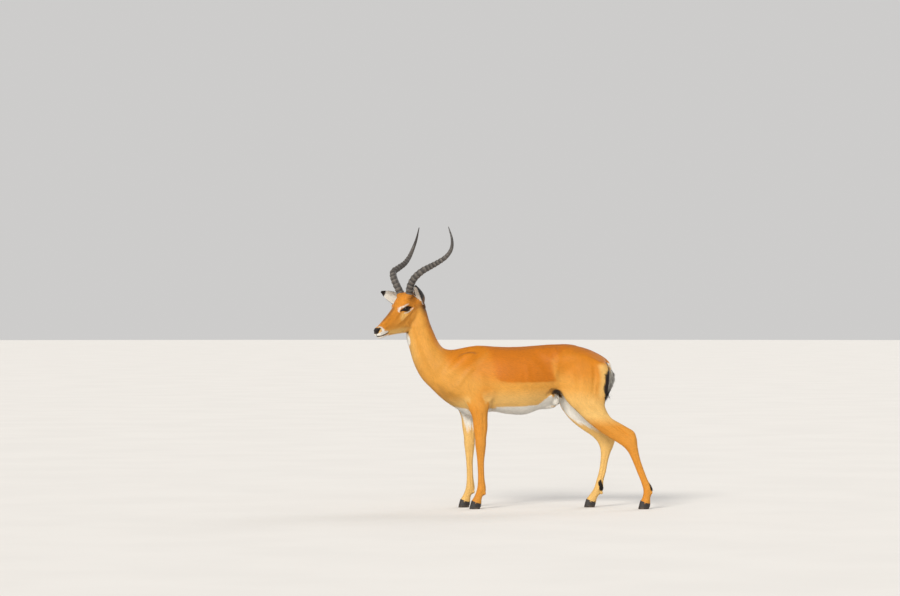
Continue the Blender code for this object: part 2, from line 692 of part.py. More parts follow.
# ---- materials ----
def material(name, colour, roughness, metallic=0.0):
    made = bpy.data.materials.new(name)
    made.use_nodes = True
    shader = made.node_tree.nodes["Principled BSDF"]
    shader.inputs["Base Color"].default_value = (*colour, 1)
    shader.inputs["Roughness"].default_value = roughness
    shader.inputs["Metallic"].default_value = metallic
    made.diffuse_color = (*colour, 1)
    return made


def finish(item, kind):
    item.data.materials.clear()
    item.data.materials.append(kind)
    item.data.shade_smooth()
    item.data.set_sharp_from_angle(angle=math.radians(50))


def stand_on_origin(items):
    """Puts the origin under the middle of the whole animal, on the floor."""
    points = np.array([vertex.co for item in items for vertex in item.data.vertices])
    middle = (points.min(0) + points.max(0)) / 2
    place = Matrix.Translation((-middle[0], -middle[1], 0))
    for item in items:
        item.data.transform(place)


def clear_scene():
    for item in list(bpy.data.objects):
        bpy.data.objects.remove(item, do_unlink=True)


def main():
    clear_scene()
    coat = material("short_coat", RUFOUS, 0.75)
    pale_coat = material("pale_coat", TAN, 0.75)
    white_coat = material("white_coat", PALE, 0.8)
    horn = material("horn", DARK_HORN, 0.5)
    black = material("hoof_horn", BLACK, 0.45)
    eye = material("eye", BLACK, 0.08)

    body = flesh()
    soften(body)
    part_flesh(body)
    nodes = name_pieces(split(body))
    bpy.data.objects.remove(body, do_unlink=True)
    for name, item in nodes.items():
        finish(item, {"neck": pale_coat, "tail": white_coat}.get(name, coat))

    # The hollow of the ear curls, so its socket is grown further to keep the same gap.
    kinds = (("eye", eye_form, GAP, eye), ("horn", horn_form, GAP, horn), ("ear", ear_form, 3 * GAP, coat))
    for label, left in (("left", 1), ("right", -1)):
        for kind, form, grow, look in kinds:
            boolean(nodes["head"], helper(f"{kind} socket {label}", form(left, grow)))
            nodes[f"{kind}_{label}"] = as_object(f"{kind}_{label}", form(left))
            finish(nodes[f"{kind}_{label}"], look)
        boolean(nodes["head"], helper(f"lids {label}", eye_opening(left)))

    names = ("fore_left", "fore_right", "hind_left", "hind_right")
    for name, (sections, side, shift) in zip(names, feet()):
        for label, inner in (("outer", side), ("inner", -side)):
            hoof = as_object(f"hoof_{name}_{label}", hoof_form(sections, side, shift, inner))
            finish(hoof, black)
            nodes[hoof.name] = hoof

    for item in list(bpy.data.objects):
        if item.hide_render:
            bpy.data.objects.remove(item, do_unlink=True)
    stand_on_origin(nodes.values())


if __name__ == "__main__":
    main()
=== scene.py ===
"""Impala ram at life size: one skin under a short coat, with eyes, horns and hooves, on a pale floor."""

import math

import bmesh
import bpy
import numpy as np
from bpy.props import FloatProperty, FloatVectorProperty, IntProperty, PointerProperty
from bpy.types import Operator, Panel, PropertyGroup
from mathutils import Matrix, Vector


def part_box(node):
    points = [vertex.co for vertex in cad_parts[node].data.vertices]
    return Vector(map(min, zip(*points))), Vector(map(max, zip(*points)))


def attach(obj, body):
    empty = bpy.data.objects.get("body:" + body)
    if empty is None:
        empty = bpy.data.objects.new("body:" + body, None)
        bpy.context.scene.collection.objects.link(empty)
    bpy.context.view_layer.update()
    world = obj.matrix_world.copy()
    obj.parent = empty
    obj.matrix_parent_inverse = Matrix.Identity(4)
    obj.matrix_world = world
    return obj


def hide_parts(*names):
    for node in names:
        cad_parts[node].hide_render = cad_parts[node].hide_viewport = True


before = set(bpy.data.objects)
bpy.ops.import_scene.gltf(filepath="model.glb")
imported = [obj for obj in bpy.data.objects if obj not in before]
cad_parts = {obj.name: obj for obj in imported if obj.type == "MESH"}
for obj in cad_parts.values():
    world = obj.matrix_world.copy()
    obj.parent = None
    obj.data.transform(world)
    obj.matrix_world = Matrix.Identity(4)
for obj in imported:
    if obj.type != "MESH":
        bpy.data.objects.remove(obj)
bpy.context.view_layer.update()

bl_info = {
    "name": "Impala ram",
    "version": (1, 0, 0),
    "blender": (4, 5, 0),
    "location": "View3D > Sidebar > Impala",
    "description": "Builds a still, life-size impala ram with its coat, horns, eyes and hooves",
    "category": "Add Mesh",
}

FLESH_NODES = ("head", "neck", "trunk", "tail", "ear_left", "ear_right")
FLESH_NODES += ("foreleg_left", "foreleg_right", "hindleg_left", "hindleg_right")
BOTH = (1, -1)  # the head's left and right
SIDES = {"left": -1, "right": 1}  # the body's sides, by the sign of y

# ---- the head's own frame ----
HEAD_YAW = math.radians(40)  # from straight ahead, to the animal's left
HEAD_PITCH = math.radians(35)  # nose below the eye line
EYE_LINE = np.array((-0.57, -0.056, 1.037))  # midway between the eyes
EYE_OUT = 0.0385
EYE_FORWARD = 0.002
LID_TILT = math.radians(22)
AHEAD = np.array((-math.cos(HEAD_YAW), -math.sin(HEAD_YAW), 0))
UPWARD = np.array((0.0, 0.0, 1.0))
FACE = AHEAD * math.cos(HEAD_PITCH) - UPWARD * math.sin(HEAD_PITCH)
CROWN = AHEAD * math.sin(HEAD_PITCH) + UPWARD * math.cos(HEAD_PITCH)
ASIDE = np.array((math.sin(HEAD_YAW), -math.cos(HEAD_YAW), 0))
LID_LENGTH = FACE * math.cos(LID_TILT) + CROWN * math.sin(LID_TILT)  # along the opening of the lids
LID_HEIGHT = CROWN * math.cos(LID_TILT) - FACE * math.sin(LID_TILT)
SIDE_AXES = np.array(((1.0, 0, 0), (0, 0, 1.0), (0, 1.0, 0)))  # along, up and across the body
SHIN_SHIFT = -0.057  # the right foreleg stands this far ahead of the left


def metres(value):
    """The same rows, with every number in them taken from millimetres to metres."""
    if isinstance(value, str):
        return value
    if isinstance(value, dict):
        return {name: metres(rows) for name, rows in value.items()}
    return tuple(map(metres, value)) if isinstance(value, (tuple, list)) else value / 1000


# ---- sections: rows through metres(...) are in millimetres, all others in metres ----
BODY = [
    # name, dorsal (x, z), ventral (x, z), half width, level of the widest, roundness above and below
    ("tail head", (0.503, 0.774), (0.49, 0.712), 0.026, 0.5, 2.0, 2.0),
    ("pin bones", (0.49, 0.784), (0.474, 0.66), 0.058, 0.5, 2.0, 1.9),
    ("rump", (0.452, 0.808), (0.425, 0.637), 0.088, 0.5, 1.9, 1.8),
    ("hips", (0.385, 0.836), (0.355, 0.632), 0.102, 0.55, 2.0, 1.8),
    ("croup", (0.3, 0.854), (0.278, 0.622), 0.104, 0.58, 1.9, 1.8),
    ("groin", (0.235, 0.8535), (0.243, 0.568), 0.102, 0.58, 1.9, 1.6),
    ("loin", (0.185, 0.852), (0.212, 0.53), 0.103, 0.56, 2.0, 1.75),
    ("flank", (0.115, 0.846), (0.14, 0.508), 0.116, 0.5, 2.1, 2.0),
    ("paunch", (0.04, 0.841), (0.07, 0.485), 0.13, 0.46, 2.1, 2.1),
    ("ribs", (-0.04, 0.84), (-0.02, 0.488), 0.134, 0.46, 2.0, 2.1),
    ("girth", (-0.115, 0.845), (-0.105, 0.5), 0.124, 0.48, 1.8, 2.0),
    ("withers", (-0.187, 0.85), (-0.205, 0.474), 0.108, 0.45, 1.6, 2.0),
    ("shoulders", (-0.25, 0.839), (-0.285, 0.517), 0.1, 0.45, 1.7, 2.0),
    ("breast", (-0.31, 0.827), (-0.36, 0.567), 0.091, 0.45, 1.8, 2.0),
    ("neck root", (-0.35, 0.835), (-0.42, 0.622), 0.081, 0.48, 1.9, 2.0),
    ("lower neck", (-0.364, 0.85), (-0.47, 0.675), 0.073, 0.48, 2.0, 2.0),
    ("mid neck", (-0.384, 0.884), (-0.508, 0.75), 0.066, 0.48, 2.0, 2.0),
    ("upper neck", (-0.4, 0.922), (-0.53, 0.825), 0.06, 0.5, 2.0, 2.0),
    ("throat", (-0.416, 0.96), (-0.546, 0.883), 0.057, 0.5, 2.0, 2.0),
    ("throat latch", (-0.428, 1.0), (-0.545, 0.935), 0.054, 0.5, 2.0, 2.0),
    ("nape", (-0.442, 1.045), (-0.54, 0.995), 0.048, 0.5, 2.0, 2.0),
    ("poll", (-0.478, 1.085), (-0.55, 1.045), 0.036, 0.5, 2.0, 2.0),
]
FORELEG = metres([
    # name, front (x, z), back (x, z), half width, distance from the middle plane
    ("shoulder", (-315, 700), (-150, 735), 34, 66),
    ("upper arm", (-300, 625), (-100, 640), 38, 72),
    ("elbow", (-245, 550), (-103, 558), 36, 76),
    ("forearm", (-207, 484), (-119, 499), 33, 77),
    ("lower forearm", (-196, 416), (-122, 421), 27, 76),
    ("above knee", (-188, 364), (-129, 369), 23.5, 75),
    ("knee", (-187, 333), (-130, 333), 24, 75),
    ("below knee", (-182, 296), (-134, 296), 20, 75),
    ("cannon", (-176, 239), (-140, 239), 15.5, 75),
    ("lower cannon", (-173, 160), (-138, 160), 15.5, 75),
    ("fetlock", (-177, 107), (-131, 96), 20, 75),
    ("pastern", (-189, 70), (-151, 58), 18, 75),
    ("coronet", (-205, 42), (-154, 26), 22.5, 75),
    ("toe", (-213, 12), (-158, -8), 22.5, 75),
])
HINDLEGS = metres([
    # name, left front (x, z), left back, right front, right back, half width, distance from the middle plane
    ("hip", (250, 800), (440, 785), (250, 800), (440, 785), 44, 48),
    ("thigh", (222, 738), (490, 735), (222, 738), (487, 735), 55, 52),
    ("mid thigh", (222, 672), (494, 668), (224, 665), (487, 668), 55, 60),
    ("lower thigh", (247, 608), (486, 596), (236, 603), (472, 600), 50, 70),
    ("stifle", (293, 552), (486, 540), (255, 540), (446, 548), 44, 78),
    ("gaskin", (342, 500), (500, 500), (287, 483), (448, 502), 38, 80),
    ("mid gaskin", (398, 447), (522, 470), (333, 436), (462, 470), 32, 82),
    ("lower gaskin", (458, 401), (562, 446), (380, 401), (488, 438), 26.5, 83),
    ("above hock", (510, 367), (603, 422), (421, 374), (518, 406), 22.5, 83),
    ("point of hock", (548, 344), (636, 400), (450, 345), (545, 365), 21.5, 83),
    ("hock", (581, 321), (650, 362), (465, 314), (537, 322), 23, 83),
    ("below hock", (606, 292), (655, 318), (470, 281), (521, 284), 20, 83),
    ("hind cannon", (629, 245), (667, 260), (468, 239), (508, 239), 16.5, 83),
    ("mid cannon", (649, 195), (685, 206), (461, 190), (498, 187), 15.5, 83),
    ("low cannon", (670, 143), (706, 152), (448, 143), (485, 138), 16, 83),
    ("fetlock", (683, 98), (730, 100), (434, 99), (481, 91), 20, 83),
    ("pastern", (680, 66), (720, 58), (414, 68), (454, 54), 18, 83),
    ("coronet", (669, 42), (720, 26), (395, 42), (446, 26), 22.5, 83),
    ("toe", (662, 12), (716, -8), (386, 12), (440, -8), 22.5, 83),
])
HINDLEG_LEFT = [(name, *rest[:2], *rest[4:]) for name, *rest in HINDLEGS]
HINDLEG_RIGHT = [(name, *rest[2:]) for name, *rest in HINDLEGS]
FEET = (
    # name, sections, side (-1 is the animal's left), shift ahead, lowest section that blends into the body
    ("foreleg_left", FORELEG, -1, 0.0, 5),
    ("foreleg_right", FORELEG, 1, SHIN_SHIFT, 5),
    ("hindleg_left", HINDLEG_LEFT, -1, 0.0, 7),
    ("hindleg_right", HINDLEG_RIGHT, 1, 0.0, 7),
)
HEAD = [
    # name, forward of the eyes, top, bottom, half width, level of the widest, roundness above and below
    ("occiput", -0.112, 0.03, -0.07, 0.03, 0.55, 2.2, 2.0),
    ("crown", -0.092, 0.048, -0.094, 0.043, 0.62, 2.2, 1.9),
    ("ears", -0.065, 0.057, -0.108, 0.05, 0.65, 2.3, 1.8),
    ("horns", -0.036, 0.058, -0.122, 0.053, 0.67, 2.4, 1.7),
    ("eyes", 0.0, 0.048, -0.129, 0.05, 0.71, 2.4, 1.6),
    ("cheeks", 0.032, 0.036, -0.126, 0.042, 0.65, 2.2, 1.6),
    ("face", 0.066, 0.03, -0.112, 0.034, 0.6, 2.1, 1.7),
    ("bridge", 0.1, 0.0245, -0.092, 0.029, 0.55, 2.1, 1.9),
    ("muzzle", 0.132, 0.02, -0.075, 0.0275, 0.53, 2.2, 2.0),
    ("nostrils", 0.16, 0.014, -0.062, 0.028, 0.54, 2.6, 2.1),
    ("lips", 0.184, 0.0125, -0.053, 0.027, 0.56, 2.8, 2.1),
    ("nose", 0.203, 0.009, -0.046, 0.023, 0.6, 2.8, 2.0),
    ("nose tip", 0.214, 0.001, -0.034, 0.015, 0.6, 2.6, 2.0),
]
TAIL = metres([
    # name, centre (x, z), half depth, half width
    ("dock", (470, 762), 20, 22),
    ("root", (497, 757), 15, 18),
    ("upper tail", (512, 735), 11.5, 15),
    ("mid tail", (519, 700), 10.5, 14),
    ("lower tail", (516, 662), 9.5, 13),
    ("brush", (507, 625), 7, 10),
    ("brush end", (501, 595), 3.5, 5),
])
EAR = [
    # name, share of the length, share of the width, depth of the hollow, thickness
    ("root", -0.12, 0.34, 0.1, 0.02),
    ("neck of the ear", 0.08, 0.44, 0.25, 0.017),
    ("bell", 0.26, 0.86, 0.85, 0.0075),
    ("blade", 0.46, 1.0, 0.78, 0.0065),
    ("upper blade", 0.66, 0.86, 0.66, 0.0062),
    ("taper", 0.84, 0.56, 0.5, 0.006),
    ("ear tip", 0.96, 0.22, 0.2, 0.0058),
    ("end", 0.99, 0.12, 0.1, 0.005),
]
EAR_LENGTH = 0.178
EAR_WIDTH = 0.072
EAR_ROOT = (-0.101, -0.047, 0.046)
HORN = metres([
    # name, back, out and up from the middle of the two horn bases
    ("root", 8, 26, -30),
    ("base", 4, 34, 0),
    ("rise", -5, 53, 40),
    ("flare", -3, 83, 82),
    ("elbow", 19, 114, 116),
    ("sweep", 63, 122, 139),
    ("back", 110, 132, 162),
    ("turn", 154, 151, 194),
    ("upright", 184, 158, 236),
    ("point", 198, 145, 288),
    ("tip", 196, 120, 350),
])
HORN_SEAT = (-0.062, 0.048)
NECK_BASE = -0.33  # the coat of the neck starts ahead of this
TAIL_WHITE = 0.752  # below this the tail is white
PURSE = (0.233, 0, 0.562)
EAR_SIDES = (("left", 1), ("right", -1))


# ---- numbers of the build ----
SKIN_LOWEST = 0.01  # the skin ends inside the claws, this far over the floor
CORONET_SLOPE = math.radians(22)
FIRST_SEED = 11
FLOOR_RADIUS, FLOOR_SIDES = 90.0, 96
SKY, SKY_STRENGTH = (0.9, 0.89, 0.88, 1), 0.68
LAMPS = (
    # name, place, width in degrees, share of the main light's strength, colour
    ("key", (-3.0, -6.4, 4.8), 16, 1.0, (1.0, 0.95, 0.87)),
    ("rim", (3.4, 4.6, 4.2), 25, 0.35, (0.96, 0.97, 1.0)),
)
LAMP_AIM = (-0.1, 0, 0.8)
FARTHEST = 400.0  # how far the camera sees
CORE_GRID = 0.0065  # the grid that joins trunk, neck and upper legs
CLAW_CREASE = math.radians(55)
SOCKET = 0.0035  # the skin between the lids lies this far inside the eyeball
RIBS = 7


# ---- curves, rings and meshes ----
def through(rows, steps):
    """Rows of numbers, `steps` per interval, on a Catmull-Rom curve through all the given rows."""
    rows = np.asarray(rows, float)
    ends = np.vstack([2 * rows[0] - rows[1], rows, 2 * rows[-1] - rows[-2]])
    t = (np.arange(steps) / steps)[:, None]
    found = []
    for before, start, stop, after in zip(ends, ends[1:], ends[2:], ends[3:]):
        bend = before - 2.5 * start + 2 * stop - 0.5 * after
        turn = 1.5 * (start - stop) + 0.5 * (after - before)
        found.append(start + 0.5 * t * (stop - before) + t**2 * bend + t**3 * turn)
    return np.vstack([*found, rows[-1:]])


def soft(value, low, high):
    """0 at low, 1 at high, with a smooth step between. low may be the larger."""
    t = np.clip((value - low) / (high - low), 0, 1)
    return t * t * (3 - 2 * t)


def blob(u, centre_u, reach_u, v=0.0, centre_v=0.0, reach_v=1.0):
    """1 at a centre, falling away round it like a bell."""
    return np.exp(-(((u - centre_u) / reach_u) ** 2) - ((v - centre_v) / reach_v) ** 2)


def unit(vectors):
    return vectors / np.maximum(np.linalg.norm(vectors, axis=-1, keepdims=True), 1e-9)


def ovals(centre, top, low, side, round_top, round_low, count):
    """Rings whose upper and lower halves are superellipses. Each argument has one row per ring."""
    angle = np.arange(count) * 2 * math.pi / count
    c, s = np.cos(angle)[None], np.sin(angle)[None]
    roundness = np.where(c > 0, np.reshape(round_top, (-1, 1)), np.reshape(round_low, (-1, 1)))
    height = np.abs(c) ** (2 / roundness)
    width = np.sign(s) * np.abs(s) ** (2 / roundness)
    reach = np.where(c[..., None] > 0, top[:, None], low[:, None])
    return centre[:, None] + reach * height[..., None] + side[:, None] * width[..., None]


def lofted(rings):
    """Points and faces of a closed mesh through rings of one count."""
    count, ring = rings.shape[:2]
    points = rings.reshape(-1, 3)
    first = np.arange(ring)
    after = (first + 1) % ring
    quads = np.stack([first, after, after + ring, first + ring], axis=1)
    faces = (quads[None] + (np.arange(count - 1) * ring)[:, None, None]).reshape(-1, 4).tolist()
    faces += [first[::-1].tolist(), (first + (count - 1) * ring).tolist()]
    corners = points[np.array(faces[:-2])]
    volume = np.einsum("ij,ij->i", corners[:, 0], np.cross(corners[:, 1], corners[:, 2])).sum()
    volume += np.einsum("ij,ij->i", corners[:, 0], np.cross(corners[:, 2], corners[:, 3])).sum()
    if volume < 0:
        faces = [face[::-1] for face in faces]
    return points, faces


def ball(centre, radii, axes, count=28):
    """An ellipsoid as a loft along its third axis."""
    turn = np.linspace(0.03, math.pi - 0.03, count // 2)
    centres = np.asarray(centre) - np.outer(np.cos(turn), axes[2]) * radii[2]
    wide = np.outer(np.sin(turn), axes[0]) * radii[0]
    side = np.outer(np.sin(turn), axes[1]) * radii[1]
    return lofted(ovals(centres, wide, -wide, side, 2.0, 2.0, count))


def linked(name, data):
    item = bpy.data.objects.new(name, data)
    bpy.context.scene.collection.objects.link(item)
    return item


def mesh_object(name, points, faces, edges=()):
    data = bpy.data.meshes.new(name)
    data.from_pydata(np.asarray(points).tolist(), edges, faces)
    return linked(name, data)


def joined(name, forms):
    points, faces, start = [], [], 0
    for form_points, form_faces in forms:
        points.append(form_points)
        faces += [[corner + start for corner in face] for face in form_faces]
        start += len(form_points)
    return mesh_object(name, np.vstack(points), faces)


def bake_modifiers(item):
    """The object's evaluated mesh takes the place of its mesh, and its modifiers go."""
    graph = bpy.context.evaluated_depsgraph_get()
    made = bpy.data.meshes.new_from_object(item.evaluated_get(graph))
    old = item.data
    item.modifiers.clear()
    item.data = made
    bpy.data.meshes.remove(old)


def one_surface(item, voxel):
    remesh = item.modifiers.new("one surface", "REMESH")
    remesh.mode = "VOXEL"
    remesh.voxel_size = voxel
    bake_modifiers(item)


def read(items, key, kind=np.float32, size=1):
    """One value, or `size` of them, from each item of a mesh's collection."""
    found = np.empty(len(items) * size, kind)
    items.foreach_get(key, found)
    return found


def points_of(item, normals=False):
    source, key = (item.data.vertex_normals, "vector") if normals else (item.data.vertices, "co")
    return read(source, key, size=3).reshape(-1, 3).astype(float)


def corners_of(item):
    """The point at each corner of the faces, and each face's first corner."""
    return read(item.data.loops, "vertex_index", np.int32), read(item.data.polygons, "loop_start", np.int32)


def move_points(item, points):
    item.data.vertices.foreach_set("co", np.asarray(points, np.float32).ravel())
    item.data.update()


def smooth_by(item, weight, times):
    """Smooths each point by its weight, in twelve steps of strength."""
    group = item.vertex_groups.new(name="soft")
    step = np.round(np.clip(weight, 0, 1) * 12).astype(int)
    for level in range(1, 13):
        chosen = np.flatnonzero(step == level)
        if len(chosen):
            group.add(chosen.tolist(), level / 12, "REPLACE")
    smooth = item.modifiers.new("soften", "SMOOTH")
    smooth.factor = 0.5
    smooth.iterations = times
    smooth.vertex_group = group.name
    bake_modifiers(item)
    item.vertex_groups.clear()


def attribute(item, name, values, kind="FLOAT", domain="POINT"):
    layer = item.data.attributes.new(name, kind, domain)
    key = "value" if kind in ("FLOAT", "INT") else "vector"
    layer.data.foreach_set(key, np.asarray(values, np.float32 if kind != "INT" else np.int32).ravel())


def shade_smooth(item):
    item.data.polygons.foreach_set("use_smooth", [True] * len(item.data.polygons))
    item.data.update()


# ---- the animal's forms, each with its own axis ----
def on_head(forward, up, left):
    return EYE_LINE + FACE * forward + CROWN * up + ASIDE * left


def head_place(points):
    """Forward of the eyes, above them, and to the head's left."""
    offset = points - EYE_LINE
    return offset @ FACE, offset @ CROWN, offset @ ASIDE


def eye_centre(left):
    return on_head(EYE_FORWARD, 0.0, left * EYE_OUT)


eye_low, eye_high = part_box("eye_left")
SHIFT = (np.array(eye_low) + np.array(eye_high)) / 2 - eye_centre(1)


def flat(x, z, y=0.0):
    return np.stack([x, np.full_like(x, y), z], axis=1)


def body_rings(steps=6, count=72):
    rows = through([(*top, *low, *rest) for _, top, low, *rest in BODY], steps)
    top, low = flat(rows[:, 0], rows[:, 1]), flat(rows[:, 2], rows[:, 3])
    centre = low + (top - low) * rows[:, 5:6]
    side = flat(rows[:, 0] * 0, rows[:, 0] * 0) + np.outer(rows[:, 4], (0, 1, 0))
    return ovals(centre, top - centre, low - centre, side, rows[:, 6], rows[:, 7], count)


def leg_rings(sections, side, shift, steps=6, count=44):
    rows = through([(*front, *back, half, out) for _, front, back, half, out in sections], steps)
    front, back = flat(rows[:, 0] + shift, rows[:, 1]), flat(rows[:, 2] + shift, rows[:, 3])
    centre = (front + back) / 2
    centre[:, 1] = side * rows[:, 5]
    front[:, 1] = back[:, 1] = centre[:, 1]
    haunch = np.clip((np.linalg.norm(front - back, axis=1) - 0.12) / 0.1, 0, 1)
    across = np.outer(rows[:, 4], (0, 1, 0))
    return ovals(centre, front - centre, back - centre, across, 2 - 0.25 * haunch, 2 + haunch, count)


def head_rings(steps=8, count=72):
    rows = through([row[1:] for row in HEAD], steps)
    forward, top, low, half, level, up, down = rows.T
    middle = low + (top - low) * level
    centre = EYE_LINE + np.outer(forward, FACE) + np.outer(middle, CROWN)
    above, below = np.outer(top - middle, CROWN), np.outer(low - middle, CROWN)
    return ovals(centre, above, below, np.outer(half, ASIDE), up, down, count)


def tail_rings(steps=6, count=24):
    rows = through([(*centre, depth, half) for _, centre, depth, half in TAIL], steps)
    centre = flat(rows[:, 0], rows[:, 1])
    along = unit(np.gradient(centre, axis=0))
    back = np.stack([-along[:, 2], along[:, 1], along[:, 0]], axis=1) * rows[:, 2:3]
    return ovals(centre, back, -back, np.outer(rows[:, 3], (0, 1, 0)), 2.0, 2.0, count)


def ear_axes(left):
    """Along the ear, across it and out of its hollow."""
    aside = ASIDE * left
    if left > 0:
        along = AHEAD * 0.65 + aside * 0.46 + UPWARD * 0.55
        hollow = AHEAD * 0.97 - UPWARD * 0.1
    else:
        along = AHEAD * 0.76 + aside * 0.62 + UPWARD * 0.42
        hollow = AHEAD * 0.81 - aside * 0.5 - UPWARD * 0.2
    along = unit(along)
    across = unit(np.cross(along, hollow))
    return along, across, unit(np.cross(across, along))


def ear_rings(left, steps=6, half_count=22):
    """A leaf curled into a hollow: each ring is a crescent."""
    along, across, hollow = ear_axes(left)
    share, width, depth, thick = through([row[1:] for row in EAR], steps).T[:, :, None]
    place = np.concatenate([np.linspace(-1, 1, half_count), np.linspace(1, -1, half_count)])[None]
    wall = np.repeat([1, -1], half_count)[None]
    half = width * EAR_WIDTH / 2
    cheek = np.sqrt(np.clip(1 - place**2, 0, 1)) * 0.5 + 0.14
    lift = depth * half * (1.25 * np.abs(place) ** 1.7 - 0.7) - wall * thick * cheek
    start = ear_root(left) + share[..., None] * EAR_LENGTH * along
    return start + (half * place)[..., None] * across + lift[..., None] * hollow


def head_forms():
    """Brows over the eyes, cheek muscles, and the flesh that the horns and ears grow from."""
    axes = (FACE, CROWN, ASIDE)
    forms = [lofted(head_rings())]
    for left in BOTH:
        for forward, up, out, radii in ((-0.002, 0.006, 0.036, (0.033, 0.025, 0.0215)),
                                        (-0.03, -0.052, 0.026, (0.045, 0.042, 0.0225)),
                                        (-0.058, 0.04, 0.031, (0.026, 0.024, 0.026)),
                                        (-0.088, -0.028, 0.034, (0.028, 0.034, 0.021))):
            forms.append(ball(on_head(forward, up, left * out), radii, axes))
    return forms


def muscles():
    """Shoulder blade, upper arm and haunch, as ovals that lie along the bones."""
    forms = []
    for side in (-1, 1):
        for start, stop, half_length, depth, thick, out in (
            ((-0.19, 0.8), (-0.345, 0.65), 0.12, 0.06, 0.032, 0.068),
            ((-0.345, 0.65), (-0.135, 0.575), 0.115, 0.056, 0.032, 0.072),
            ((0.235, 0.775), (0.44, 0.74), 0.11, 0.06, 0.036, 0.068),
        ):
            run = np.array((stop[0] - start[0], 0, stop[1] - start[1]))
            along = unit(run)
            across = np.array((-along[2], 0, along[0]))
            centre = np.array((start[0], side * out, start[1])) + run / 2
            forms.append(ball(centre, (half_length, depth, thick), (along, across, SIDE_AXES[2])))
    return forms


def purse():
    """What hangs between a ram's thighs, and the fold that leads to it."""
    forms = [ball((0.232, side * 0.016, 0.562), (0.025, 0.031, 0.022), SIDE_AXES) for side in (-1, 1)]
    return [*forms, ball((0.165, 0, 0.53), (0.07, 0.018, 0.026), SIDE_AXES)]


def section(sections, name):
    return next(row for row in sections if row[0] == name)


def dewclaws():
    forms = []
    for _, sections, side, shift, _ in FEET:
        _, _, back, _, out = section(sections, "fetlock")
        for inner in (-1, 1):
            centre = (back[0] + shift - 0.007, side * out + inner * 0.01, back[1] - 0.014)
            forms.append(ball(centre, (0.008, 0.011, 0.006), SIDE_AXES, 16))
    return forms


# ---- the skin ----
def body_core():
    """Trunk, neck, upper legs and muscles as one surface, smoothed deeply where they meet."""
    legs = [lofted(leg_rings(sections[: last + 1], side, shift)) for _, sections, side, shift, last in FEET]
    core = joined("core", [lofted(body_rings()), *legs, *muscles()])
    one_surface(core, CORE_GRID)
    x, _, z = points_of(core).T
    trunk = np.clip((z - 0.5) / 0.12, 0, 1) * np.clip((x + 0.52) / 0.06, 0, 1)
    smooth_by(core, 0.05 + 0.95 * trunk * np.clip((0.485 - x) / 0.02, 0, 1), 34)
    finer = core.modifiers.new("finer", "SUBSURF")
    finer.levels = finer.render_levels = 1
    bake_modifiers(core)
    points = points_of(core)
    faces = [list(face.vertices) for face in core.data.polygons]
    bpy.data.objects.remove(core)
    return points, faces


def stroke(points, normals, where, rows, keep):
    """Raises the skin, or sinks it, along a path of rows (u, v, radius, height) over the plane `where`."""
    rows = np.asarray(rows, float)
    if len(rows) == 1:
        rows = np.vstack([rows, rows + (1e-4, 0, 0, 0)])
    reach = rows[:, 2].max()
    near = keep & (where >= rows[:, :2].min(0) - reach).all(1) & (where <= rows[:, :2].max(0) + reach).all(1)
    spot = where[near]
    best = np.zeros(len(spot))
    for start, stop in zip(rows, rows[1:]):
        run = stop[:2] - start[:2]
        share = np.clip((spot - start[:2]) @ run / (run @ run), 0, 1)
        row = start + share[:, None] * (stop - start)
        away = np.linalg.norm(spot - row[:, :2], axis=1) / row[:, 2]
        rise = row[:, 3] * np.clip(1 - away**2, 0, 1) ** 2
        best = np.where(np.abs(rise) > np.abs(best), rise, best)
    points[near] += normals[near] * best[:, None]


